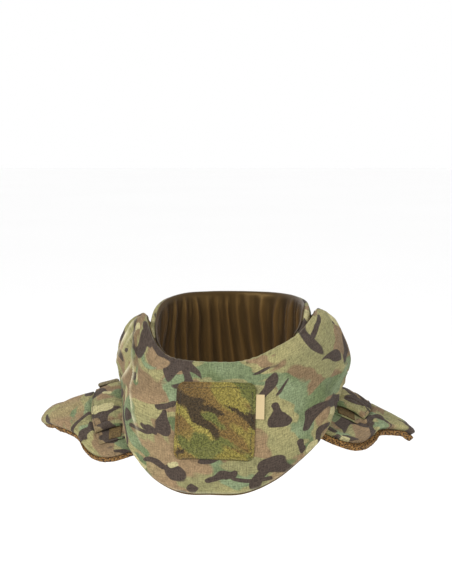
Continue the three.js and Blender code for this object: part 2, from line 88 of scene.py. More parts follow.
GUARD_SECTIONS = np.array([
    # angle, neckline reach and rise, shoulder, belly and hem reach and rise
    [-116, 1.03, 0.63, 1.07, 0.53, 1.09, 0.4, 1.06, 0.29],
    [-103, 0.975, 0.71, 1.08, 0.6, 1.14, 0.4, 1.1, 0.23],
    [-90, 0.9, 0.735, 1.08, 0.64, 1.2, 0.38, 1.17, 0.22],
    [-75, 0.9, 0.68, 1.05, 0.56, 1.17, 0.31, 1.18, 0.12],
    [-64, 0.89, 0.56, 1.07, 0.41, 1.2, 0.16, 1.24, -0.03],
    [-56, 0.88, 0.49, 1.1, 0.31, 1.26, 0.05, 1.32, -0.17],
    [-50, 0.87, 0.445, 1.1, 0.25, 1.28, -0.03, 1.37, -0.28],
    [-42, 0.86, 0.42, 1.07, 0.2, 1.24, -0.1, 1.38, -0.41],
    [-32, 0.84, 0.41, 1.04, 0.165, 1.22, -0.17, 1.4, -0.53],
    [-20, 0.82, 0.405, 1.0, 0.13, 1.2, -0.225, 1.42, -0.6],
    [-8, 0.81, 0.405, 0.98, 0.115, 1.18, -0.25, 1.42, -0.595],
    [5, 0.82, 0.41, 0.99, 0.125, 1.18, -0.24, 1.41, -0.59],
    [18, 0.83, 0.445, 1.01, 0.165, 1.19, -0.185, 1.385, -0.505],
    [30, 0.86, 0.51, 1.06, 0.25, 1.23, -0.07, 1.38, -0.365],
    [42, 0.88, 0.57, 1.11, 0.35, 1.28, 0.04, 1.375, -0.215],
    [49, 0.885, 0.605, 1.13, 0.41, 1.3, 0.1, 1.35, -0.1],
    [57, 0.89, 0.65, 1.145, 0.48, 1.29, 0.17, 1.28, -0.03],
    [67, 0.9, 0.715, 1.15, 0.555, 1.285, 0.24, 1.23, 0.06],
    [78, 0.91, 0.76, 1.13, 0.65, 1.285, 0.3, 1.19, 0.12],
    [90, 0.92, 0.775, 1.11, 0.67, 1.27, 0.36, 1.18, 0.18],
    [102, 0.97, 0.755, 1.09, 0.65, 1.18, 0.4, 1.13, 0.23],
    [115, 1.03, 0.68, 1.08, 0.55, 1.1, 0.41, 1.07, 0.29],
])

COLLAR_SECTIONS = np.array([
    # angle, rim reach and rise, middle reach, foot reach
    [-62, 0.85, 0.5, 0.88, 0.92],
    [-76, 0.87, 0.58, 0.91, 0.95],
    [-90, 0.88, 0.66, 0.93, 0.98],
    [-105, 0.93, 0.76, 0.96, 1.0],
    [-124, 1.0, 0.93, 1.01, 1.04],
    [-145, 1.03, 1.0, 1.04, 1.06],
    [-165, 1.04, 1.01, 1.05, 1.07],
    [-180, 1.045, 1.01, 1.055, 1.075],
    [-195, 1.04, 1.01, 1.05, 1.07],
    [-215, 1.03, 1.01, 1.04, 1.06],
    [-236, 0.98, 1.0, 1.01, 1.04],
    [-255, 0.915, 0.97, 0.97, 1.0],
    [-270, 0.875, 0.93, 0.94, 0.98],
    [-284, 0.86, 0.8, 0.91, 0.95],
    [-298, 0.85, 0.7, 0.88, 0.92],
])

PAD_OUTLINE = np.array([
    # angle, reach of the right pad and of the left
    [44, 0.58, 0.6],
    [50.5, 0.677, 0.72],
    [55, 0.755, 0.775],
    [60, 0.81, 0.805],
    [66, 0.84, 0.82],
    [71, 0.85, 0.83],
    [76, 0.9, 0.84],
    [81, 0.965, 0.9],
    [86, 1.005, 0.98],
    [90, 1.02, 1.01],
    [94, 1.005, 0.98],
    [99, 0.955, 0.89],
    [104, 0.895, 0.825],
    [109, 0.84, 0.82],
    [115, 0.83, 0.81],
    [121, 0.78, 0.785],
    [127, 0.7, 0.74],
    [134, 0.6, 0.66],
    [139, 0.55, 0.58],
])

PAD_RIDGE = np.array([
    # distance from the middle of the neck opening, rise of the right pad and of the left
    [0.4, 0.42, 0.42],
    [0.465, 0.35, 0.3],
    [0.535, 0.25, 0.17],
    [0.6, 0.165, 0.04],
    [0.655, 0.095, -0.09],
    [0.71, 0.03, -0.215],
    [0.775, -0.035, -0.335],
    [0.835, -0.105, -0.46],
    [0.895, -0.2, -0.59],
    [0.95, -0.31, -0.73],
    [0.98, -0.46, -0.88],
    [1.03, -0.72, -1.15],
])


# ---------------------------------------------------------------- curves and faces


def smoothstep(low: float, high: float, x: Array) -> Array:
    """Rises smoothly from 0 at low to 1 at high."""
    t = np.clip((x - low) / (high - low), 0, 1)
    return t * t * (3 - 2 * t)


def hump(x: Array, at: float, width: float) -> Array:
    """A round hump, one high, at a place."""
    return np.exp(-(((x - at) / width) ** 2))


def fullness(distance: Array, width: float) -> Array:
    """How full a padded sheet is at a distance from its seam: 0 at it, 1 past the width."""
    t = np.clip(distance / width, 0, 1)
    return np.sqrt(1 - (1 - t) ** 2)


def unit(vectors: Array) -> Array:
    """Scales vectors to a length of one."""
    return vectors / np.maximum(np.linalg.norm(vectors, axis=-1, keepdims=True), 1e-9)


def from_border(u: Array, v: Array, length: float, height: float) -> Array:
    """Distance of places on a sheet from its border."""
    return np.minimum(np.minimum(u, 1 - u) * length, np.minimum(v, 1 - v) * height)


def bent(t: Array, start: Array, end: Array, leaving: Array, arriving: Array) -> Array:
    """Runs from a start to an end as t goes from 0 to 1, with given slopes at both."""
    ease = t * t * (3 - 2 * t)
    return start + (end - start) * ease + t * (1 - t) ** 2 * leaving - t * t * (1 - t) * arriving


def along(table: Array, key: Array, column: int) -> Array:
    """Reads a value that runs smoothly through a column of a table.

    Args:
        table: Rows of numbers, the first column being the key.
        key: Where to read.
        column: Which column to read.

    Returns:
        The values, one for each key.
    """
    keys, values = table[:, 0], table[:, column]
    if keys[-1] < keys[0]:
        keys, values = keys[::-1], values[::-1]
    rows = np.arange(len(keys))
    before, after = np.maximum(rows - 1, 0), np.minimum(rows + 1, rows[-1])
    slope = (values[after] - values[before]) / (keys[after] - keys[before])
    i = np.clip(np.searchsorted(keys, key) - 1, 0, len(keys) - 2)
    span = keys[i + 1] - keys[i]
    t = np.clip((key - keys[i]) / span, 0, 1)
    return bent(t, values[i], values[i + 1], span * slope[i], span * slope[i + 1])


def through(points: list[Array], v: Array) -> Array:
    """Runs a smooth curve through points.

    Args:
        points: Arrays of one shape, one for each point of the curve.
        v: Where on the curve, 0 to 1, of the same shape.

    Returns:
        The curve's value at each place.
    """
    last = len(points) - 1
    stack = np.stack([np.broadcast_to(p, v.shape) for p in points])
    place = np.clip(v, 0, 1) * last
    i = np.minimum(np.floor(place).astype(int), last - 1)
    p0, p1, p2, p3 = (
        np.take_along_axis(stack, np.clip(i + n, 0, last)[None], axis=0)[0] for n in (-1, 0, 1, 2)
    )
    return bent(place - i, p1, p2, (p2 - p0) / 2, (p3 - p1) / 2)


def round_neck(angle: Array, reach: Array, rise: Array) -> Array:
    """Gives points at angles round the neck opening, in degrees, with their reaches and rises."""
    a = np.radians(angle)
    return np.stack([np.sin(a) * reach, -np.cos(a) * reach, rise], axis=-1)


def normals_of(face: Face, u: Array, v: Array, flipped: bool) -> Array:
    """Works out a face's normals from nearby points of it.

    Args:
        face: The face.
        u: Places along it.
        v: Places across it.
        flipped: True where u, v and the outside are left-handed.

    Returns:
        One unit vector for each place.
    """
    d = 0.004
    du = face(np.minimum(1, u + d), v) - face(np.maximum(0, u - d), v)
    dv = face(u, np.minimum(1, v + d)) - face(u, np.maximum(0, v - d))
    return unit(np.cross(du, dv)) * (-1 if flipped else 1)


def raised(face: Face, offset: Face, flipped: bool) -> Face:
    """Moves a face out along its normals by an offset in millimetres."""
    return lambda u, v: face(u, v) + normals_of(face, u, v, flipped) * offset(u, v)[..., None]


def with_margin(face: Face, margin: float) -> Face:
    """Moves a face's first and last row past its border by a margin."""

    def wider(u: Array, v: Array) -> Array:
        """The wider face."""
        p = face(u, v)
        inner = face(u, np.where(v <= 0, 0.02, 0.98))
        return p + unit(p - inner) * margin * ((v <= 0) | (v >= 1))[..., None]

    return wider


def even(count: int, edges: tuple[float, ...] = (), more: tuple[float, ...] = ()) -> Array:
    """Even steps from 0 to 1, with more at these shares from both ends, and at others."""
    steps = set(np.round(np.linspace(0, 1, count + 1), 6)) | set(more)
    for e in edges:
        steps |= {e, round(1 - e, 6)}
    return np.array(sorted(steps))


def soft_noise(points: Array, size: float, seed: int, waves: int = 24) -> Array:
    """A smooth random swell, the same on each run.

    Args:
        points: Places, in millimetres.
        size: Rough width of a swell, in millimetres.
        seed: Which swell.
        waves: How many plain waves it is made of.

    Returns:
        Values mostly from -1 to 1.
    """
    draw = np.random.default_rng(seed)
    ways = unit(draw.normal(size=(waves, points.shape[-1])))
    pace = 2 * math.pi / (size * draw.uniform(1.2, 3.2, waves))
    phase = draw.uniform(0, 2 * math.pi, waves)
    total = np.zeros(points.shape[:-1])
    for way, k, start in zip(ways, pace, phase):
        total += np.sin(points @ way * k + start)
    return total / math.sqrt(waves / 2)


# ---------------------------------------------------------------- meshes


def linked(name: str, data: bpy.types.ID) -> Piece:
    """Puts a mesh, a lamp or a camera in the scene."""
    thing = bpy.data.objects.new(name, data)
    bpy.context.scene.collection.objects.link(thing)
    return thing


def read(items: bpy.types.bpy_prop_collection, key: str) -> Array:
    """Reads a vector of each of a mesh's items."""
    flat = np.empty(len(items) * 3, np.float32)
    items.foreach_get(key, flat)
    return flat.reshape(-1, 3).astype(float)


def keep(mesh: bpy.types.Mesh, name: str, values: Array) -> None:
    """Keeps a number or a vector for each vertex in a mesh."""
    kind, key = ("FLOAT", "value") if values.ndim == 1 else ("FLOAT_VECTOR", "vector")
    mesh.attributes.new(name, kind, "POINT").data.foreach_set(key, values.ravel().astype(np.float32))


def positions(mesh: bpy.types.Mesh) -> Array:
    """A mesh's vertices, in metres."""
    return read(mesh.vertices, "co")


def place(mesh: bpy.types.Mesh, points: Array) -> None:
    """Moves a mesh's vertices, in metres."""
    mesh.vertices.foreach_set("co", points.ravel().astype(np.float32))
    mesh.update()


def spots(mesh: bpy.types.Mesh) -> Array:
    """Each vertex's place on its cloth: u, v, and 1 on the outer skin to 0 on the inner."""
    return read(mesh.attributes["spot"].data, "vector").T


@dataclass
class Shell:
    """A closed body between an outer and an inner face, with its cloth's own coordinates.

    Attributes:
        name: The piece's name.
        outer: The outer face, in millimetres.
        inner: The inner face, in millimetres.
        us: Steps along it.
        vs: Steps across it.
        flipped: True where the faces turn the other way round.
    """

    name: str
    outer: Face
    inner: Face
    us: Array
    vs: Array
    flipped: bool

    def build(self) -> Piece:
        """Makes the mesh, with a UV map in metres of cloth and each vertex's spot on it.

        Returns:
            The new piece.
        """
        u, v = np.meshgrid(self.us, self.vs, indexing="ij")
        top, bottom = self.outer(u, v), self.inner(u, v)
        ids = np.arange(u.size).reshape(u.shape)
        cloth = self.cloth_coordinates(top)
        upper, under = np.dstack([ids, cloth]), np.dstack([ids + u.size, cloth])
        rim = float(np.linalg.norm(top - bottom, axis=-1)[0].mean()) * MM

        def quads(*corners: Array) -> Array:
            """Joins four sets of corners, each an index and a place on the cloth, to quads."""
            return np.stack([c.reshape(-1, 3) for c in corners], axis=1)

        def skin(grid: Array) -> Array:
            """The quads of one skin."""
            return quads(grid[:-1, :-1], grid[1:, :-1], grid[1:, 1:], grid[:-1, 1:])

        rows = [skin(upper), skin(under)[:, TURNED]]
        for line, hem, out, order in (
            (upper[:, 0], under[:, 0], (0, 0, -rim), BACK),
            (upper[:, -1], under[:, -1], (0, 0, rim), AHEAD),
            (upper[0], under[0], (0, -rim, 0), AHEAD),
            (upper[-1], under[-1], (0, rim, 0), BACK),
        ):
            past = hem + np.array(out)
            rows.append(quads(line[:-1], line[1:], past[1:], past[:-1])[:, order])
        corners = np.concatenate(rows)
        if self.flipped:
            corners = corners[:, TURNED]
        mesh = bpy.data.meshes.new(self.name)
        points = np.concatenate([top.reshape(-1, 3), bottom.reshape(-1, 3)]) * MM
        mesh.from_pydata(points.tolist(), [], corners[..., 0].astype(int).tolist())
        layer = mesh.uv_layers.new(name="cloth")
        layer.data.foreach_set("uv", corners[..., 1:].ravel().astype(np.float32))
        skins = [np.stack([u, v, u * 0 + s], axis=-1).reshape(-1, 3) for s in (1.0, 0.0)]
        keep(mesh, "spot", np.concatenate(skins))
        mesh.validate()
        return linked(self.name, mesh)

    def cloth_coordinates(self, grid: Array) -> Array:
        """Lengths along the cloth from its middle column and its first row, in metres."""
        across = np.linalg.norm(np.diff(grid, axis=0), axis=-1)
        down = np.linalg.norm(np.diff(grid, axis=1), axis=-1)
        s = np.concatenate([np.zeros((1, grid.shape[1])), np.cumsum(across, axis=0)])
        s -= s[grid.shape[0] // 2]
        t = np.concatenate([np.zeros((grid.shape[0], 1)), np.cumsum(down, axis=1)], axis=1)
        return np.stack([s, t], axis=-1) * MM


def settle(piece: Piece) -> None:
    """Applies all of a piece's modifiers."""
    graph = bpy.context.evaluated_depsgraph_get()
    old = piece.data
    new = bpy.data.meshes.new_from_object(
        piece.evaluated_get(graph), preserve_all_data_layers=True, depsgraph=graph
    )
    piece.modifiers.clear()
    piece.data = new
    new.name = piece.name
    bpy.data.meshes.remove(old)


def modified(piece: Piece, kind: str, **settings: object) -> None:
    """Runs one modifier on a piece and keeps the result in its mesh."""
    modifier = piece.modifiers.new(kind.lower(), kind)
    for key, value in settings.items():
        setattr(modifier, key, value)
    settle(piece)


def subdivided(piece: Piece, levels: int) -> None:
    """Rounds a piece by subdivision."""
    modified(piece, "SUBSURF", levels=levels, render_levels=levels, boundary_smooth="PRESERVE_CORNERS")


def sculpt(piece: Piece, height: Relief) -> None:
    """Moves a piece's cloth in or out.

    Args:
        piece: The piece, with its spots kept in its mesh.
        height: Gives how far each vertex moves along its normal, in millimetres, from its u, v
            and skin and its position in millimetres.
    """
    mesh = piece.data
    points = positions(mesh)
    move = height(*spots(mesh), points / MM) * MM
    place(mesh, points + read(mesh.vertices, "normal") * move[:, None])


@dataclass(frozen=True)
class Filling:
    """How a padded piece is filled by cloth simulation.

    Attributes:
        pressure: Pressure in the cover.
        slack: How much longer the cover is than its pattern, as a share.
        most: The farthest that a point may move, in millimetres.
        stiffness: How much the cover resists bending.
        steps: How many frames it takes.
    """

    pressure: float
    slack: float
    most: float
    stiffness: float
    steps: int = 20

    def quilt(self, shell: Shell, free: Face, levels: int, relief: Relief) -> Piece:
        """Builds a padded piece, fills it, rounds it and moves its creases in its mesh.

        Args:
            shell: The piece before it is filled.
            free: How free each place of the outer skin is to move, 0 held to 1 free.
            levels: How often it is subdivided.
            relief: Height of its creases.

        Returns:
            The new piece.
        """
        piece = shell.build()
        u, v, skin = spots(piece.data)
        self.fill(piece, free(u, v) * skin)
        subdivided(piece, levels)
        sculpt(piece, relief)
        return piece

    def fill(self, piece: Piece, free: Array) -> None:
        """Fills a piece and keeps the result in its mesh.

        Args:
            piece: The piece, in its own cover.
            free: How free each vertex is to move, 0 held to 1 free.
        """
        rest = positions(piece.data)
        group = piece.vertex_groups.new(name="held")
        for share in np.unique(np.round(free, 2)):
            ids = np.nonzero(np.round(free, 2) == share)[0].tolist()
            group.add(ids, float(1 - share), "REPLACE")
        cloth = piece.modifiers.new("filling", "CLOTH")
        settings = {
            "quality": 6, "mass": 0.3, "tension_stiffness": 18, "compression_stiffness": 18,
            "shear_stiffness": 8, "bending_stiffness": self.stiffness, "use_pressure": True,
            "uniform_pressure_force": self.pressure, "shrink_min": -self.slack,
            "vertex_group_mass": group.name,
        }
        for key, value in settings.items():
            setattr(cloth.settings, key, value)
        cloth.settings.effector_weights.gravity = 0
        cloth.collision_settings.use_collision = False
        cloth.point_cache.frame_start, cloth.point_cache.frame_end = 1, self.steps
        scene = bpy.context.scene
        for step in range(1, self.steps + 1):
            scene.frame_set(step)
        settle(piece)
        scene.frame_set(1)
        piece.vertex_groups.clear()
        move = positions(piece.data) - rest
        size = np.linalg.norm(move, axis=1, keepdims=True) / MM
        move *= free[:, None] * np.minimum(1, self.most / np.maximum(size, 1e-6))
        place(piece.data, rest + move)
        log.info("%s filled, moved up to %.1f mm", piece.name, np.linalg.norm(move, axis=1).max() / MM)


@dataclass(frozen=True)
class Fold:
    """A crease that runs through places on a cloth.

    Attributes:
        path: The places, as angle along it and the share across it.
        height: Height of the crest, in millimetres.
        width: Half width of the crest, in millimetres.
        valley: Depth of the valley beside it, in millimetres.
        beside: How far the valley lies from the crest, in millimetres; negative on its other side.
        spread: Half width of the valley, in millimetres.
    """

    path: tuple[tuple[float, float], ...]
    height: float
    width: float
    valley: float = 0.0
    beside: float = 5.0
    spread: float = 5.0

    def rise(self, x: Array, y: Array, scale: tuple[float, float]) -> Array:
        """Works out how much the crease lifts each place.

        Args:
            x: Places along the cloth, in the path's first unit.
            y: Places across the cloth, in the path's second unit.
            scale: Millimetres to each of the two units.

        Returns:
            The lift in millimetres.
        """
        p = np.stack([x * scale[0], y * scale[1]], axis=-1)
        path = np.array(self.path) * np.array(scale)
        lengths = np.linalg.norm(np.diff(path, axis=0), axis=1)
        starts = np.concatenate([[0], np.cumsum(lengths)])
        nearest = np.full(p.shape[:-1], 1e9)
        signed, share = np.zeros(nearest.shape), np.zeros(nearest.shape)
        for a, b, length, start in zip(path[:-1], path[1:], lengths, starts):
            way = (b - a) / length
            t = np.clip((p - a) @ way, 0, length)
            off = p - a - t[..., None] * way
            d = np.linalg.norm(off, axis=-1)
            closer = d < nearest
            nearest = np.where(closer, d, nearest)
            side = off[..., 0] * way[1] - off[..., 1] * way[0]
            signed = np.where(closer, np.sign(side) * d, signed)
            share = np.where(closer, (start + t) / starts[-1], share)
        fade = np.sin(math.pi * np.clip(share, 0.02, 0.98)) ** 0.6
        crest = self.height * np.exp(-((np.abs(signed) / self.width) ** 1.35))
        return (crest - self.valley * hump(signed, self.beside, self.spread)) * fade

    def worn(self) -> "Fold":
        """Only the fold's crest, thinner and at most one high, for the painted highlight along it."""
        return Fold(self.path, min(1.0, max(0.0, self.height - 1.3)), self.width * 0.8)


GUARD_FOLDS = (
    # the ridge where the guard turns round its right side, and its valley
    Fold(
        (
            (-79, 0.17), (-77.3, 0.227), (-72.3, 0.331), (-68.4, 0.401), (-63.6, 0.46), (-59.6, 0.495),
            (-55.9, 0.54), (-52, 0.602), (-48.6, 0.69), (-45.1, 0.756), (-43, 0.83),
        ),
        3.2, 1.7, 1.8, -5.2, 3.4,
    ),
    Fold(((-76, 0.24), (-65.0, 0.37), (-56.0, 0.5), (-50.0, 0.6)), 0.0, 1.5, 1.0, 4.5, 3.4),
    # creases on the side that faces the shoulder
    Fold(
        ((-86, 0.12), (-84.4, 0.204), (-80.5, 0.381), (-80.6, 0.522), (-82, 0.66), (-85, 0.8)),
        2.9, 2.4, 1.8, -5.0, 3.2,
    ),
    Fold(((-78.8, 0.22), (-75.4, 0.36), (-76.2, 0.46), (-78.5, 0.56)), 1.9, 1.6, 1.4, 3.4, 2.4),
    Fold(((-66.5, 0.43), (-68.2, 0.55), (-70.2, 0.68), (-74.0, 0.86)), 2.3, 1.8, 1.5, -4.2, 3.0),
    Fold(((-92, 0.12), (-88, 0.3), (-89, 0.5), (-93, 0.7)), 1.2, 2.0, 0.9, 4.5, 3.0),
    # soft bends of the bulge on the left
    Fold(((84, 0.15), (80, 0.35), (78, 0.55), (80, 0.8)), 1.1, 3.6, 0.8, -7.0, 5.0),
    Fold(((66, 0.62), (72, 0.7), (80, 0.74)), 0.9, 2.6, 0.6, 5.0, 4.0),
    Fold(((60, 0.84), (68, 0.86), (77, 0.84)), 0.8, 2.4, 0.6, 4.5, 3.6),
    # shallow drag lines down the front
    Fold(((-30, 0.06), (-31, 0.14), (-33, 0.22)), 0.7, 2.4, 0.4, 4.0, 3.0),
    Fold(((-44, 0.05), (-46, 0.16), (-50, 0.3)), 0.8, 2.6, 0.5, -4.5, 3.5),
    Fold(((30, 0.8), (38, 0.74), (47, 0.7)), 0.6, 3.0, 0.4, 5.0, 4.0),
)


# ---------------------------------------------------------------- finishes


def rgb(red: float, green: float, blue: float) -> Colour:
    """A colour from its sRGB values, 0 to 255, as light, toned down for the bright studio."""
    shares = (value / 255 for value in (red, green, blue))
    lights = (c / 12.92 if c <= 0.04045 else ((c + 0.055) / 1.055) ** 2.4 for c in shares)
    return (*(light * TONE for light in lights), 1.0)


class Signal:
    """A value in a material's node tree, which sums are written with as with a number."""

    def __init__(self, nodes: "Nodes", socket: bpy.types.NodeSocket) -> None:
        """Keeps the socket that it comes from."""
        self.nodes, self.socket = nodes, socket

    def __add__(self, other: object) -> "Signal":
        """The sum."""
        return self.nodes.math("ADD", self, other)

    def __sub__(self, other: object) -> "Signal":
        """The difference."""
        return self.nodes.math("SUBTRACT", self, other)

    def __rsub__(self, other: float) -> "Signal":
        """The difference from a number."""
        return self.nodes.math("SUBTRACT", other, self)

    def __mul__(self, other: object) -> "Signal":
        """The product."""
        return self.nodes.math("MULTIPLY", self, other)


class Nodes:
    """A material's node tree, with short calls to add and join nodes."""

    def __init__(self, name: str) -> None:
        """Starts a material that has only its output."""
        self.material = bpy.data.materials.new(name)
        self.material.use_nodes = True
        self.tree = self.material.node_tree
        self.tree.nodes.clear()
        self.output = self.tree.nodes.new("ShaderNodeOutputMaterial")

    def outputs(self, kind: str, inputs: dict | None = None, **settings: object) -> dict[str, Signal]:
        """Adds a node.

        Args:
            kind: The node's type, without its prefix.
            inputs: Values or signals for its inputs, by name or number.
            settings: The node's own settings.

        Returns:
            Its outputs by name.
        """
        node = self.tree.nodes.new("ShaderNode" + kind)
        for key, value in settings.items():
            setattr(node, key, value)
        for key, value in (inputs or {}).items():
            if isinstance(value, Signal):
                self.tree.links.new(value.socket, node.inputs[key])
            else:
                node.inputs[key].default_value = value
        return {output.name: Signal(self, output) for output in node.outputs if output.enabled}

    def add(self, kind: str, inputs: dict | None = None, **settings: object) -> Signal:
        """Adds a node and gives its first output."""
        return next(iter(self.outputs(kind, inputs, **settings).values()))

    def math(self, operation: str, *values: object) -> Signal:
        """Adds a sum of signals and numbers."""
        return self.add("Math", dict(enumerate(values)), operation=operation)

    def vector(self, operation: str, *values: object) -> Signal:
        """Adds a sum of vectors."""
        return self.add("VectorMath", dict(enumerate(values)), operation=operation)

    def mix(self, share: object, a: object, b: object, blend: str = "MIX") -> Signal:
        """Mixes two colours by a share."""
        return self.add("Mix", {0: share, 6: a, 7: b}, data_type="RGBA", blend_type=blend)

    def shaded(self, colour: Signal, tone: Signal, blue: Signal) -> Signal:
        """Multiplies a colour by a tone, and its blue by another."""
        return self.mix(1.0, colour, self.add("CombineColor", {0: tone, 1: tone, 2: blue}), "MULTIPLY")

    def ramp(self, value: Signal, low: float, high: float, first: float = 0, last: float = 1) -> Signal:
        """Turns a value into a grey that runs from a first to a last level between two places."""
        grey = self.add("ValToRGB", {"Fac": value})
        for element, at, level in zip(grey.socket.node.color_ramp.elements, (low, high), (first, last)):
            element.position = at
            element.color = (level, level, level, 1)
        return grey

    def noise(self, place: Signal, scale: float, detail: float = 2.0, **more: float) -> Signal:
        """A soft noise at a scale per metre."""
        inputs = {key.capitalize(): value for key, value in more.items()}
        return self.add("TexNoise", {"Vector": place, "Scale": scale, "Detail": detail, **inputs})

    def cells(self, place: Signal, scale: float, dimensions: str = "3D") -> Signal:
        """Distance from the middle of small cells."""
        inputs = {"Vector": place, "Scale": scale}
        return self.add("TexVoronoi", inputs, voronoi_dimensions=dimensions)

    def moved(
        self, place: Signal, shift: Triple = (0, 0, 0), scale: Triple = (1, 1, 1), turn: float = 0
    ) -> Signal:
        """Moves, scales and turns, in degrees, the place that a pattern is read at."""
        inputs = {"Location": shift, "Scale": scale, "Rotation": (0, 0, math.radians(turn))}
        return self.add("Mapping", {"Vector": place, **inputs})

    def cloth(self) -> Signal:
        """The place on the cloth, in metres."""
        return self.add("UVMap", uv_map="cloth")

    def solid(self) -> Signal:
        """The place in the object, in metres."""
        return self.outputs("TexCoord")["Object"]

    def kept(self, name: str) -> Signal:
        """A number kept in the mesh."""
        return self.outputs("Attribute", attribute_name=name)["Fac"]

    def split(self, place: Signal) -> list[Signal]:
        """A place's x, y and z."""
        return list(self.outputs("SeparateXYZ", {0: place}).values())

    def wave(self, part: Signal, length: float) -> Signal:
        """A wave of a length in metres."""
        return self.math("SINE", part * (2 * math.pi / length))

    def surface(
        self, colour: Signal, roughness: object, relief: tuple | None = None, **more: object
    ) -> Material:
        """Adds the shader and joins it to the output.

        Args:
            colour: Its colour.
            roughness: Its roughness.
            relief: Height, strength and depth in metres of its fine relief.
            more: Other sockets of the shader, with _ for a space.

        Returns:
            The material.
        """
        inputs = {"Base Color": colour, "Roughness": roughness}
        inputs |= {key.replace("_", " "): value for key, value in more.items()}
        if relief:
            inputs["Normal"] = self.add("Bump", dict(zip(("Height", "Strength", "Distance"), relief)))
        self.tree.links.new(self.add("BsdfPrincipled", inputs).socket, self.output.inputs[0])
        return self.material


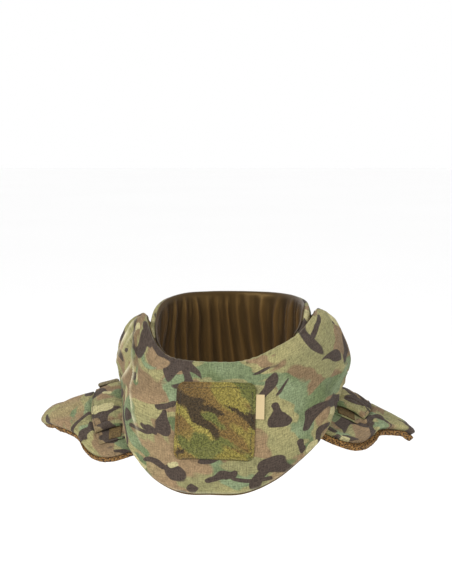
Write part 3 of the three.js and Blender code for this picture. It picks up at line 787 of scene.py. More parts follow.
@dataclass(frozen=True)
class Camouflage:
    """A woodland print of soft clouds of colour with dark branches and pale leaves over it.

    Attributes:
        shift: Where on the printed roll the piece is cut.
        turn: How the piece lies on the roll, in degrees.
        size: How large the print is.
        branches: How much of it the dark branches cover.
        leaves: How much of it the pale leaves cover.
        crisp: How soft the edges of its shapes are.
    """

    shift: Triple
    turn: float = -8.0
    size: float = 1.0
    branches: float = 1.0
    leaves: float = 1.0
    crisp: float = 0.012
    tan: Colour = rgb(134, 130, 90)
    sand: Colour = rgb(150, 143, 98)
    brown: Colour = rgb(141, 118, 88)
    umber: Colour = rgb(122, 102, 75)
    green: Colour = rgb(98, 110, 74)
    mint: Colour = rgb(124, 137, 103)
    dark: Colour = rgb(70, 59, 51)
    cream: Colour = rgb(172, 164, 120)

    def colour(self, nodes: Nodes, place: Signal) -> Signal:
        """Builds the print.

        Args:
            nodes: The material's nodes.
            place: Where the print is read, in metres of cloth.

        Returns:
            The print's colour.
        """
        roll = nodes.moved(place, self.shift, (1 / self.size,) * 3, self.turn)
        wide = nodes.moved(roll, scale=(0.55, 1, 1))
        soft = 1.6 * self.crisp

        def blot(
            x: float, y: float, scale: float, low: float, high: float,
            detail: float = 1.6, bend: float = 0.45,
        ) -> Signal:
            """A cloud read at a place of the roll, its edge between two levels of noise."""
            return nodes.ramp(
                nodes.noise(nodes.moved(wide, (x, y, 0)), scale, detail, distortion=bend), low, high
            )

        ground = nodes.mix(blot(1.3, 0.2, 22, 0.42, 0.6), self.tan, self.sand)
        earth = nodes.mix(blot(4.1, 2.2, 24, 0.38, 0.64), self.brown, self.umber)
        moss = nodes.mix(blot(7.7, 3.3, 28, 0.4, 0.62), self.green, self.mint)
        colour = nodes.mix(blot(2.7, 5.1, 25, 0.49, 0.49 + soft, 2.2), ground, earth)
        colour = nodes.mix(blot(5.5, 7.1, 16, 0.53, 0.74) * 0.7, colour, self.sand)
        colour = nodes.mix(blot(9.4, 1.7, 26, 0.545, 0.545 + soft, 2.4), colour, moss)
        low = 0.668 - 0.025 * self.branches
        thin = 0.035 * (self.branches - 1)
        wood = blot(3.9, 8.2, 29, low, low + self.crisp, 0.8, 0.2)
        for bough in (
            self.boughs(nodes, nodes.moved(roll, (0.31, 0.17, 0), (0.62, 1, 1), 4.0), 15.0, 0.515 - thin),
            self.boughs(nodes, nodes.moved(roll, (2.71, 1.33, 0), (0.62, 1, 1), -32.0), 19.0, 0.535 - thin),
            self.sticks(
                nodes, nodes.moved(roll, (1.47, 0.62, 0), (0.82, 1, 1), -20.0), 27.0,
                0.2 * self.branches, 0.32, 0.085,
            ),
        ):
            wood = nodes.math("MAXIMUM", wood, bough)
        at = nodes.moved(roll, (0.83, 2.41, 0), (0.82, 1, 1), 8.0)
        leaf = self.sticks(nodes, at, 30.0, 0.22 * self.leaves, 0.22, 0.1)
        return nodes.mix(leaf, nodes.mix(wood, colour, self.dark), self.cream)

    def boughs(self, nodes: Nodes, at: Signal, scale: float, level: float) -> Signal:
        """Winding boughs that fork, broken into lengths with round ends.

        Args:
            nodes: The material's nodes.
            at: The place that they are read at.
            scale: How close they lie, to a metre.
            level: How much of them is left out.

        Returns:
            1 in a bough, 0 outside.
        """
        line = 0.038 - nodes.math("ABSOLUTE", nodes.noise(at, scale, 0.7, distortion=0.5) - 0.5)
        length = (nodes.noise(nodes.moved(at, (3.1, 1.7, 0)), scale * 1.5, 0.5) - level) * 0.35
        return nodes.ramp(nodes.math("SMOOTH_MIN", line, length, 0.034), 0, self.crisp * 0.3)

    def sticks(
        self, nodes: Nodes, at: Signal, scale: float, share: float, long: float, thick: float
    ) -> Signal:
        """Short strokes with round ends, each turned its own way, one to a cell.

        Args:
            nodes: The material's nodes.
            at: The place that they are read at.
            scale: Cells to a metre.
            share: How many cells have a stroke.
            long: Longest half length of a stroke, in cells.
            thick: Its thickness, in cells.

        Returns:
            1 in a stroke, 0 outside.
        """
        for bend, amount in ((26.0, 0.022), (90.0, 0.005)):
            sway = nodes.outputs("TexNoise", {"Vector": at, "Scale": bend, "Detail": 1.0})["Color"]
            sway = nodes.vector("SUBTRACT", sway, (0.5, 0.5, 0.5))
            at = nodes.vector("MULTIPLY_ADD", sway, (amount,) * 3, at)
        inputs = {"Vector": at, "Scale": scale, "Randomness": 0.6}
        cell = nodes.outputs("TexVoronoi", inputs, voronoi_dimensions="2D")
        middle = cell["Position"]
        turn, half, body = nodes.outputs("SeparateColor", {0: cell["Color"]}).values()
        inputs = {"Vector": nodes.vector("SUBTRACT", at, middle), "Angle": (turn - 0.5) * 1.9}
        x, y, _ = nodes.split(nodes.add("VectorRotate", inputs, rotation_type="Z_AXIS"))
        past = nodes.math("ABSOLUTE", x) - (half + 0.25) * (long / 1.25 / scale)
        off = nodes.add("CombineXYZ", {0: nodes.math("MAXIMUM", past, 0.0), 1: y})
        inside = ((body + 0.8) * (thick / scale) - nodes.vector("LENGTH", off)) * 60.0
        luck = nodes.add("TexWhiteNoise", {"Vector": middle}, noise_dimensions="2D")
        return nodes.math("LESS_THAN", luck, share) * nodes.ramp(inside, 0, self.crisp * 3)


@dataclass(frozen=True)
class PrintedCloth:
    """Coarse woven nylon with the print on it.

    Attributes:
        name: The material's name.
        print: The print.
        shade: Brightness of the whole cloth; above one it is painted light that lifts a shaded piece.
        yarn: Width of a pair of yarns, in metres.
        worn: Colour of the cloth where it is rubbed along its edges, and of the painted highlight along its
            creases.
    """

    name: str
    print: Camouflage
    shade: float = 1.0
    yarn: float = 0.00125
    worn: Colour = rgb(218, 210, 176)

    def material(self) -> Material:
        """Builds the material."""
        nodes = Nodes(self.name)
        place = nodes.cloth()
        x, y, _ = nodes.split(place)
        pace = 2 * math.pi / self.yarn
        sway = nodes.noise(place, 240, 1.0) * 1.8
        warp, weft = (nodes.math("SINE", part * pace + sway) for part in (x, y))
        weave = warp * weft * 0.5 + 0.5
        grain = nodes.ramp(nodes.noise(place, 620, 3.0, roughness=0.8), 0.36, 0.64)
        threads = nodes.noise(nodes.moved(place, scale=(0.16, 1, 1)), 800, 1.0)
        threads = threads + nodes.noise(nodes.moved(place, (3, 0, 0), (1, 0.16, 1)), 800, 1.0)
        cloth = weave * 0.24 + grain * 0.46 + (threads - 1.0) * 0.9
        level = nodes.noise(place, 24, 4.0, roughness=0.6) * 0.22 + 0.89 * self.shade
        tone = (cloth + 0.62) * level
        base = nodes.shaded(self.print.colour(nodes, place), tone, tone)
        # pale marks: a painted highlight along the creases, and wear along the edges
        base = nodes.mix(nodes.kept("wear") * 0.92, base, self.worn)
        rough = nodes.ramp(grain, 0.3, 0.7, 0.95, 0.8)
        return nodes.surface(
            base, rough, (weave + grain * 0.9, 0.6, 0.0005),
            Specular_IOR_Level=0.2, Sheen_Weight=0.04, Sheen_Roughness=0.5,
        )


@dataclass(frozen=True)
class LoopPile:
    """Fuzzy loop tape with the same kind of print, deeper in colour."""

    name: str = "loop_pile"
    print: Camouflage = Camouflage(
        shift=(0.413, 0.268, 0.0),
        turn=34,
        size=0.95,
        branches=0.7,
        leaves=0.0,
        crisp=0.02,
        tan=rgb(134, 122, 58),
        sand=rgb(146, 134, 68),
        brown=rgb(120, 96, 52),
        umber=rgb(104, 81, 44),
        green=rgb(98, 100, 50),
        mint=rgb(112, 112, 60),
        dark=rgb(66, 53, 34),
    )

    def material(self) -> Material:
        """Builds the material."""
        nodes = Nodes(self.name)
        place = nodes.cloth()
        fuzz = nodes.noise(place, 700, 3.0, roughness=0.8)
        other = nodes.noise(nodes.moved(place, (0.4, 0.7, 0)), 500, 3.0, roughness=0.8)
        shake = nodes.add("CombineXYZ", {0: (fuzz - 0.5) * 0.009, 1: (other - 0.5) * 0.009})
        colour = self.print.colour(nodes, nodes.vector("ADD", place, shake))
        loops = nodes.cells(place, 850.0, "2D")
        tuft = nodes.ramp(nodes.noise(place, 450, 3.0, roughness=0.85), 0.41, 0.59)
        tone = tuft * 0.88 + loops * 0.5 + 0.26
        return nodes.surface(
            nodes.shaded(colour, tone, tone * 0.97), 0.95, (fuzz + loops, 0.9, 0.0009),
            Specular_IOR_Level=0.15, Sheen_Weight=0.08, Sheen_Roughness=0.6,
        )


@dataclass(frozen=True)
class SpacerMesh:
    """Thick knitted spacer mesh, all small holes, with painted shade in them."""

    name: str = "spacer_mesh"
    pale: Colour = rgb(160, 121, 66)
    deep: Colour = rgb(118, 82, 40)
    hole: Colour = rgb(34, 20, 8)

    def material(self) -> Material:
        """Builds the material."""
        nodes = Nodes(self.name)
        place = nodes.solid()
        knit = nodes.cells(place, 560.0)
        fine = nodes.noise(place, 1200, 2.0, roughness=0.7)
        yarn = nodes.mix(nodes.ramp(fine, 0.35, 0.7), self.pale, self.deep)
        # the holes are painted dark: painted shade inside them
        base = nodes.mix(nodes.ramp(knit, 0.37, 0.6), self.hole, yarn)
        return nodes.surface(base, 0.85, (knit + fine * 0.3, 0.9, 0.0014), Specular_IOR_Level=0.25)


@dataclass(frozen=True)
class SatinLining:
    """Smooth brown lining with a soft golden gloss, and painted shade and painted highlight on its folds.
    """

    name: str = "satin_lining"
    # colours of the painted shade in the fold valleys and of the painted highlight on their crests
    valley: Colour = rgb(25, 17, 9)
    crest: Colour = rgb(95, 71, 38)
    roughness: float = 0.36
    twill: float = 0.0011
    gloss: Colour = rgb(232, 190, 120)

    def material(self) -> Material:
        """Builds the material."""
        nodes = Nodes(self.name)
        place = nodes.cloth()
        x, y, _ = nodes.split(place)
        fine = nodes.noise(place, 800, 2.0)
        painted_sheen = nodes.noise(nodes.moved(place, scale=(1, 0.3, 1)), 60, 3.0)
        # painted light: from painted shade in the valleys to a painted highlight on the crests, with
        # streaks of painted sheen
        base = nodes.mix(nodes.kept("crest") * 0.72 + painted_sheen * 0.24, self.valley, self.crest)
        return nodes.surface(
            base, self.roughness, (nodes.wave(x + y, self.twill) * 0.4 + fine, 0.2, 0.0003),
            Specular_IOR_Level=0.5, Specular_Tint=self.gloss, Sheen_Weight=0.05,
        )


@dataclass(frozen=True)
class HookTape:
    """Coyote hook tape, rows of tiny hooks."""

    name: str = "hook_tape"
    hook: Colour = rgb(106, 86, 50)
    ground: Colour = rgb(58, 45, 25)

    def material(self) -> Material:
        """Builds the material."""
        nodes = Nodes(self.name)
        place = nodes.solid()
        hooks = nodes.cells(place, 620.0) + nodes.noise(place, 900, 3.0, roughness=0.75)
        base = nodes.mix(nodes.ramp(hooks * 0.6, 0.3, 0.75), self.ground, self.hook)
        return nodes.surface(base, 0.8, (hooks, 0.8, 0.0008), Specular_IOR_Level=0.3)


@dataclass(frozen=True)
class Webbing:
    """Ribbed tan webbing."""

    name: str = "tan_webbing"
    rib: float = 0.0016
    deep: Colour = rgb(92, 82, 62)
    pale: Colour = rgb(146, 136, 108)

    def material(self) -> Material:
        """Builds the material."""
        nodes = Nodes(self.name)
        place = nodes.cloth()
        fine = nodes.noise(nodes.moved(place, scale=(0.4, 1, 1)), 500, 3.0)
        share = nodes.wave(nodes.split(place)[0], self.rib) * 0.2 + fine
        base = nodes.mix(nodes.ramp(share, 0.3, 0.75), self.deep, self.pale)
        return nodes.surface(base, 0.85, (share, 0.7, 0.0006), Specular_IOR_Level=0.2)


@dataclass(frozen=True)
class WovenLabel:
    """Bare cream damask label."""

    name: str = "woven_label"
    row: float = 0.0007
    cream: Colour = rgb(192, 172, 130)
    deep: Colour = rgb(168, 146, 104)

    def material(self) -> Material:
        """Builds the material."""
        nodes = Nodes(self.name)
        place = nodes.cloth()
        fine = nodes.noise(place, 1100, 2.0)
        height = nodes.wave(nodes.split(place)[1], self.row) * 0.5 + fine
        base = nodes.mix(fine * 0.5, self.cream, self.deep)
        return nodes.surface(base, 0.6, (height, 0.3, 0.0003), Specular_IOR_Level=0.35)


@dataclass(frozen=True)
class Thread:
    """Sewing thread."""

    name: str
    colour: Colour

    def material(self) -> Material:
        """Builds the material."""
        nodes = Nodes(self.name)
        ply = nodes.noise(nodes.solid(), 1500, 1.0)
        darker = (*(c * 0.6 for c in self.colour[:3]), 1.0)
        base = nodes.mix(nodes.ramp(ply, 0.35, 0.65), darker, self.colour)
        return nodes.surface(base, 0.6, (ply, 0.4, 0.0002))


# ---------------------------------------------------------------- sewing


def finished(piece: Piece, material: Material, slot: str, node: str = "") -> None:
    """Gives a piece its finish and its place in the model.

    Args:
        piece: The piece.
        material: Its material.
        slot: The record's material slot that its finish stands for.
        node: The CAD node that it replaces.
    """
    mesh = piece.data
    mesh.polygons.foreach_set("use_smooth", np.ones(len(mesh.polygons), bool))
    mesh.materials.clear()
    mesh.materials.append(material)
    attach(piece, BODY)
    if node:
        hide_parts(node)
    log.info("%s: %d faces, slot %s", piece.name, len(mesh.polygons), slot)


def surface_of(piece: Piece) -> BVHTree:
    """A piece's surface, for laying other pieces on it."""
    mesh = piece.data
    points = [Vector(p) for p in positions(mesh)]
    return BVHTree.FromPolygons(points, [tuple(p.vertices) for p in mesh.polygons])


@dataclass(frozen=True)
class Stitching:
    """A row of stitches along a line on a cloth.

    Attributes:
        pitch: From one stitch to the next, in millimetres.
        length: Length of a stitch, in millimetres.
        thread: Thickness of the thread, in millimetres.
        sunk: How far the thread lies in the cloth, in millimetres.
        sides: How many sides the thread has.
        rings: How many rings of points a stitch has.
    """

    pitch: float
    length: float
    thread: float
    sunk: float = 0.1
    sides: int = 6
    rings: int = 5

    def sew(self, name: str, lines: Iterable[Array], cloth: BVHTree) -> Piece:
        """Makes the stitches as one piece.

        Args:
            name: The piece's name.
            lines: Rows of points to sew along, in millimetres.
            cloth: The surface that the stitches lie on.

        Returns:
            The new piece.
        """
        points: list[Vector] = []
        faces: list[tuple[int, ...]] = []
        half = self.length / 2
        for line in lines:
            steps = np.concatenate([[0], np.cumsum(np.linalg.norm(np.diff(line, axis=0), axis=1))])
            for s in np.arange(self.pitch / 2, steps[-1] - half, self.pitch):
                ends = (s - half, s, s + half)
                places = ([np.interp(e, steps, line[:, k]) for k in range(3)] for e in ends)
                laid = [cloth.find_nearest(Vector([float(c) * MM for c in p])) for p in places]
                if all(hit[0] is not None for hit in laid):
                    self.stitch(points, faces, laid[0][0], laid[2][0], laid[1][1])
        mesh = bpy.data.meshes.new(name)
        mesh.from_pydata(points, [], faces)
        return linked(name, mesh)

    def stitch(
        self, points: list[Vector], faces: list[tuple[int, ...]], start: Vector, end: Vector, up: Vector
    ) -> None:
        """Adds one stitch, a short thread whose ends dip into the cloth.

        Args:
            points: Points so far, which its own are added to.
            faces: Faces so far, which its own are added to.
            start: Its start on the cloth.
            end: Its end on the cloth.
            up: The cloth's normal.
        """
        sides, rings = self.sides, self.rings
        across = (end - start).normalized().cross(up).normalized()
        first = len(points)
        radius = self.thread * MM / 2
        for i in range(rings):
            t = i / (rings - 1)
            full = math.sin(math.pi * (0.12 + 0.76 * t))
            middle = start.lerp(end, t) + up * (radius * (full * 1.5 - 0.6) - self.sunk * MM)
            for j in range(sides):
                a = 2 * math.pi * j / sides
                out = across * math.cos(a) * radius * full + up * math.sin(a) * radius * full
                points.append(middle + out)
        for i in range(rings - 1):
            for j in range(sides):
                a, b = first + i * sides + j, first + i * sides + (j + 1) % sides
                faces.append((a, b, b + sides, a + sides))
        faces.append(tuple(first + j for j in reversed(range(sides))))
        faces.append(tuple(first + (rings - 1) * sides + j for j in range(sides)))


# ---------------------------------------------------------------- the throat guard


@dataclass
class Wrap:
    """A padded part that goes round the neck opening. Sizes are in millimetres.

    Attributes:
        radius: Radius that its reaches are shares of.
        height: Height that its rises are shares of.
        thickness: Full thickness.
        edge: Thickness at the seams.
        edge_width: How far in the padding reaches its full thickness.
        lining_stand: How far the lining stands past the edge.
        lining_thickness: Thickness of the lining.
    """

    sections: ClassVar[Array]
    radius: float
    height: float
    thickness: float
    edge: float
    edge_width: float
    lining_stand: float
    lining_thickness: float = 1.4

    @property
    def length(self) -> float:
        """Length round the neck opening."""
        return math.radians(abs(self.sections[-1, 0] - self.sections[0, 0])) * self.radius

    def angle(self, u: Array) -> Array:
        """The angle at a share of its length."""
        return self.sections[0, 0] + (self.sections[-1, 0] - self.sections[0, 0]) * u

    def border(self, u: Array, v: Array) -> Array:
        """Distance from its border."""
        return from_border(u, v, self.length, self.height)

    def fill(self, u: Array, v: Array) -> Array:
        """How full the padding is."""
        return fullness(self.border(u, v), self.edge_width)


@dataclass
class ThroatGuard(Wrap):
    """The padded throat guard with its lining, loop panel and label.

    Attributes:
        folds: The creases in its cover.
        panel_size: Side of the loop panel.
        panel_corner: Radius of its corners.
        panel_thickness: Thickness of its pile.
        panel_inset: From its edge to its seam.
        panel_angle: Angle of its middle, in degrees.
        panel_share: How far down its middle is, as a share.
        panel_across: Distance of its middle from there.
        label_width: Width of the label.
        label_height: Height of the label.
        label_thickness: Thickness of the label.
    """

    sections: ClassVar[Array] = GUARD_SECTIONS
    radius: float = 100.0
    height: float = 120.0
    thickness: float = 9.0
    edge: float = 3.4
    edge_width: float = 12.0
    lining_stand: float = 0.8
    folds: tuple[Fold, ...] = GUARD_FOLDS
    panel_size: float = 79.0
    panel_corner: float = 8.0
    panel_thickness: float = 2.2
    panel_inset: float = 2.6
    panel_angle: float = -7.5
    panel_share: float = 0.5
    panel_across: float = -0.8
    label_width: float = 8.4
    label_height: float = 25.0
    label_thickness: float = 1.0

    def at(self, angle: Array, v: Array) -> Array:
        """The outer face by angle, and v from 0 at the neckline to 1 at the hem."""
        reach = [along(self.sections, angle, c) * self.radius for c in (1, 3, 5, 7)]
        rise = [along(self.sections, angle, c) * self.height for c in (2, 4, 6, 8)]
        return round_neck(angle, through(reach, v), through(rise, v))

    def face(self, u: Array, v: Array) -> Array:
        """The outer face by shares of its length and height."""
        return self.at(self.angle(u), v)

    def inner(self, u: Array, v: Array) -> Array:
        """Offset of the inner face."""
        return -self.edge - (self.thickness - self.edge) * self.fill(u, v)

    def build_cover(self, material: Material) -> Piece:
        """Makes the padded cover, fills it and presses its folds into it."""
        outer = raised(
            self.face, lambda u, v: -self.edge * 0.3 * (1 - fullness(self.border(u, v), 4.0)), True
        )
        inner = raised(self.face, self.inner, True)
        shell = Shell("guard_cover", outer, inner, even(88, (0.003, 0.012)), even(28, (0.008, 0.02)), True)
        piece = Filling(pressure=3.5, slack=0.022, most=3.0, stiffness=1.2).quilt(
            shell, lambda u, v: smoothstep(1.0, 16.0, self.border(u, v)), 2, self.relief
        )
        # painted highlight on the creases, wear on the edges
        self.wear(piece)
        finished(piece, material, "camouflage_cloth", "throat_guard")
        return piece

    def creases(self, u: Array, v: Array, folds: Iterable[Fold]) -> list[Array]:
        """How much each fold lifts each place."""
        scale = (math.radians(1) * self.radius * 1.2, self.height * 1.15)
        return [fold.rise(self.angle(u), v, scale) for fold in folds]

    def relief(self, u: Array, v: Array, skin: Array, points: Array) -> Array:
        """Height of the folds, of the gathers at the seams and of the cloth's own slow swell."""
        border = self.border(u, v)
        swell = soft_noise(points, 22, 3) * 0.25 + soft_noise(points, 9, 4) * 0.08
        gathers = np.sin(u * self.length * 1.2 * 2 * math.pi / 13 + soft_noise(points, 30, 5) * 2.5)
        total = swell * smoothstep(2, 12, border)
        total += 0.42 * gathers * soft_noise(points, 26, 6) * hump(border, 5, 5)
        total += sum(self.creases(u, v, self.folds)) * smoothstep(0, 5, border)
        return total * smoothstep(0.3, 0.9, skin)

    def wear(self, piece: Piece) -> None:
        """Marks where the cloth is painted pale: a painted highlight along its creases, and wear a little
        along its edges.
        """
        u, v, skin = spots(piece.data)
        # the creases' crests get the painted highlight
        worn = self.creases(u, v, [fold.worn() for fold in self.folds])
        total = np.maximum.reduce([0.22 * hump(self.border(u, v), 0, 1.6), *worn])
        patchy = 0.75 + 0.25 * soft_noise(positions(piece.data) / MM, 8, 91)
        keep(piece.data, "wear", np.clip(total * patchy * (skin > 0.4), 0, 1))

    def build_lining(self, material: Material) -> None:
        """Makes the lining behind the guard, whose edge shows as a thin line."""
        wide = with_margin(self.face, self.lining_stand)
        top, bottom = (
            raised(wide, lambda u, v, d=depth: self.inner(u, v) - GAP - d, True)
            for depth in (0, self.lining_thickness)
        )
        us, vs = even(150, (0.01,)), even(44, (0.01, 0.03))
        piece = Shell("guard_back_lining", top, bottom, us, vs, True).build()
        finished(piece, material, "lining_cloth", "guard_lining")

    def spot(self, across: Array, up: Array) -> tuple[Array, Array]:
        """Finds places on the outer face by their distances from the panel's middle.

        Args:
            across: Distances to the left as worn.
            up: Distances upwards.

        Returns:
            Their angles and their shares of the height.
        """
        d, angle, share = 0.01, np.array([self.panel_angle]), np.array([self.panel_share])
        middle = self.at(angle, share)[0]
        right = (self.at(angle + d, share) - self.at(angle - d, share))[0]
        right[2] = 0
        right = unit(right)
        rise = unit((self.at(angle, share - d) - self.at(angle, share + d))[0])
        rise = unit(rise - right * (rise @ right))
        a, w = np.full(across.shape, self.panel_angle), np.full(across.shape, self.panel_share)
        for _ in range(8):
            p = self.at(a, w)
            miss_x, miss_y = across - (p - middle) @ right, up - (p - middle) @ rise
            pa, pw = (self.at(a + d, w) - p) / d, (self.at(a, w + d) - p) / d
            m, n, o, q = pa @ right, pw @ right, pa @ rise, pw @ rise
            det = m * q - n * o
            a, w = a + (miss_x * q - miss_y * n) / det, w + (miss_y * m - miss_x * o) / det
        return a, w

    def patch(self, across: float, up: float, width: float, height: float, corner: float) -> Face:
        """A patch on the guard, square to the panel.

        Args:
            across: Distance of its middle from the panel's.
            up: Height of its middle over the panel's.
            width: Its width.
            height: Its height.
            corner: Radius of its corners.

        Returns:
            Its face.
        """

        def face(u: Array, v: Array) -> Array:
            """The patch's place on the guard, narrower where its corners are rounded."""
            edge = np.minimum(v, 1 - v) * height
            off = corner - np.sqrt(np.maximum(0, corner**2 - (corner - edge) ** 2))
            x = across + (u - 0.5) * (width - 2 * np.where(edge < corner, off, 0))
            return self.at(*self.spot(x, up + (v - 0.5) * height))

        return face

    def panel_face(self) -> Face:
        """The loop panel's face."""
        return self.patch(self.panel_across, 0, self.panel_size, self.panel_size, self.panel_corner)

    def laid(self, face: Face, cloth: BVHTree, lift: Face) -> Face:
        """Lays a face on the finished cover.

        Args:
            face: The face.
            cloth: The cover's surface.
            lift: How far over the cover it lies, in millimetres.

        Returns:
            The face on the cover.
        """

        def on_cloth(u: Array, v: Array) -> Array:
            """Each point's place on the cover."""
            p, n = face(u, v), normals_of(face, u, v, False)
            out = p.copy()
            for index in np.ndindex(u.shape):
                way = Vector(n[index])
                hit = cloth.ray_cast(Vector(p[index]) * MM + way * 0.02, -way, 0.05)
                if hit[0] is not None:
                    out[index] = np.array(hit[0]) / MM
            return out + n * lift(u, v)[..., None]

        return on_cloth

    def build_panel(self, cover: Piece, material: Material) -> Piece:
        """Makes the square of loop tape on the front."""
        cloth, face, size = surface_of(cover), self.panel_face(), self.panel_size

        def top(u: Array, v: Array) -> Array:
            """Height of the pile, lower along the sewn border."""
            border = from_border(u, v, size, size)
            p = np.stack([u * size, v * size], axis=-1)
            pile = soft_noise(p, 2.2, 31, 40) * 0.22 + soft_noise(p, 7, 32) * 0.12
            body = 0.3 + (self.panel_thickness - 0.7) * fullness(border + 0.25, 1.3)
            return body + pile * smoothstep(0.5, 3, border) - 0.8 * hump(border, self.panel_inset, 0.9)

        outer, inner = self.laid(face, cloth, top), self.laid(face, cloth, lambda u, v: u * 0 - 0.3)
        us, vs = even(96, (0.004,)), even(96, (0.003, 0.006, 0.016, 0.026))
        piece = Shell("front_loop_panel", outer, inner, us, vs, False).build()
        finished(piece, material, "loop_tape", "loop_panel")
        return piece

    def build_label(self, cover: Piece, material: Material) -> None:
        """Makes the small woven label beside the panel, its free end a little off the cloth."""
        cloth = surface_of(cover)
        across = self.panel_across + (self.panel_size + self.label_width) / 2 + GAP / 4
        face = self.patch(across, self.label_height * 0.62, self.label_width, self.label_height, 0)

        def lift(u: Array, v: Array) -> Array:
            """How far the label stands off the cloth."""
            return 0.5 + 0.9 * u**2 + 0.25 * np.sin(math.pi * v) * u

        outer = self.laid(face, cloth, lambda u, v: lift(u, v) + self.label_thickness * 0.6)
        inner = self.laid(face, cloth, lift)
        piece = Shell("woven_label", outer, inner, even(14, (0.02,)), even(30, (0.01,)), False).build()
        finished(piece, material, "label_cloth", "side_label")

    def build_seams(self, panel: Piece, thread: Material) -> None:
        """Sews the stitches round the panel, laid on it from the front."""
        face, t = self.panel_face(), np.linspace(0.07, 0.93, 60)
        inset = self.panel_inset / self.panel_size
        edges = (t * 0 + inset, t * 0 + 1 - inset)
        places = [(e, t) for e in edges] + [(t, e) for e in edges]
        lines = [face(u, v) + np.array([0, -8.0, 0]) for u, v in places]
        sewing = Stitching(pitch=2.6, length=2.0, thread=0.55, sunk=0.05)
        finished(sewing.sew("panel_stitches", lines, surface_of(panel)), thread, "loop_tape")


# ---------------------------------------------------------------- the collar


@dataclass
class NeckCollar(Wrap):
    """The padded collar that stands at the back, with its folded lining.

    Attributes:
        seam_depth: How far the seam with the pads lies below their tops.
        foot_drop: How far the foot goes down between them, as a share of the height.
        pads: The pads that it is sewn to, by their side.
    """

    sections: ClassVar[Array] = COLLAR_SECTIONS[::-1]
    radius: float = 92.0
    height: float = 100.0
    thickness: float = 8.0
    edge: float = 3.0
    edge_width: float = 9.0
    lining_stand: float = 1.1
    seam_depth: float = 12.0
    foot_drop: float = 0.3
    pads: dict[Side, "ShoulderPad"] | None = None

    def foot_reach(self, angle: Array) -> Array:
        """Reach of the collar's foot."""
        return along(self.sections, angle, 4) * self.radius

    def foot_rise(self, angle: Array, reach: Array) -> Array:
        """Height of the seam with the pads, or of the foot between them."""
        x, y, _ = np.moveaxis(round_neck(angle, reach, reach * 0), -1, 0)
        right, left = (
            self.pads[side].rise(np.maximum(self.radius * 0.8, side.value * x), y) for side in Side
        )
        share = smoothstep(-self.radius / 2, self.radius / 2, x)
        return np.maximum(right + (left - right) * share - self.seam_depth, -self.height * self.foot_drop)

    def face(self, u: Array, v: Array) -> Array:
        """The outer face: u round from the left end, v from the rim to the foot."""
        angle = self.angle(u)
        rim, middle, foot = (along(self.sections, angle, c) * self.radius for c in (1, 3, 4))
        top, bottom = along(self.sections, angle, 2) * self.height, self.foot_rise(angle, foot)
        wall = self.thickness / 2
        reach = through([rim + wall, middle + wall, foot + wall], v)
        return round_neck(angle, reach, through([top, (top + bottom) / 2, bottom], v))

    def spare(self, u: Array, v: Array) -> Array:
        """How much each side of the padding draws in towards its edges."""
        return (self.thickness - self.edge) / 2 * (1 - self.fill(u, v))

    def inner(self, u: Array, v: Array) -> Array:
        """Offset of the inner face."""
        return -self.thickness + self.spare(u, v)

    def build_cover(self, material: Material) -> None:
        """Makes the padded cover."""
        outer = raised(self.face, lambda u, v: -self.spare(u, v), True)
        inner = raised(self.face, self.inner, True)
        shell = Shell("collar_cover", outer, inner, even(84, (0.004, 0.014)), even(24, (0.01, 0.03)), True)
        piece = Filling(pressure=3.0, slack=0.02, most=2.5, stiffness=1.0).quilt(
            shell,
            lambda u, v: smoothstep(1.0, 14.0, self.border(u, v)),
            1,
            lambda u, v, skin, points: soft_noise(points, 20, 12) * 0.25 * smoothstep(0.3, 0.9, skin),
        )
        finished(piece, material, "camouflage_cloth", "neck_collar")

    def waves(self, u: Array, v: Array, points: Array) -> Array:
        """The lining's upright folds, from 0 in a valley to 1 on a crest."""
        x = u * self.length
        lean = x + 8 * np.sin(v * 2.1 + u * 11) + soft_noise(points, 34, 21) * 2.2
        wide = (1 - np.abs(np.sin(lean * math.pi / 17.0 + 1.2 * np.sin(x / 31)))) ** 1.3
        fine = (1 - np.abs(np.sin(lean * math.pi / 8.7 + 1.3))) ** 1.5
        return np.clip(0.75 * wide + 0.4 * fine * (0.6 + 0.4 * soft_noise(points, 18, 22)), 0, 1)

    def build_lining(self, material: Material) -> None:
        """Makes the satin lining, in soft upright folds that hang from the rim, with a painted highlight
        kept for their crests.
        """
        wide = with_margin(self.face, self.lining_stand)
        top, bottom = (
            raised(wide, lambda u, v, d=depth: self.inner(u, v) - GAP - d, True)
            for depth in (0, self.lining_thickness)
        )
        piece = Shell("collar_satin", top, bottom, even(260), even(48, (0.01, 0.03)), True).build()

        def folds(u: Array, v: Array, skin: Array, points: Array) -> Array:
            """Height of the folds on the side of the neck opening."""
            hang = smoothstep(0.0, 0.2, v) * (1 - smoothstep(0.85, 1.0, v))
            return self.waves(u, v, points) * 3.4 * hang * (1 - skin)

        u, v, _ = spots(piece.data)
        # where the painted highlight lies: on the fold crests and along the rim
        crest = self.waves(u, v, positions(piece.data) / MM) * smoothstep(0.0, 0.14, v)
        sculpt(piece, folds)
        keep(piece.data, "crest", np.clip(crest + 0.25 * np.exp(-v / 0.03), 0, 1))
        finished(piece, material, "lining_cloth", "collar_lining")


# ---------------------------------------------------------------- the shoulder pads


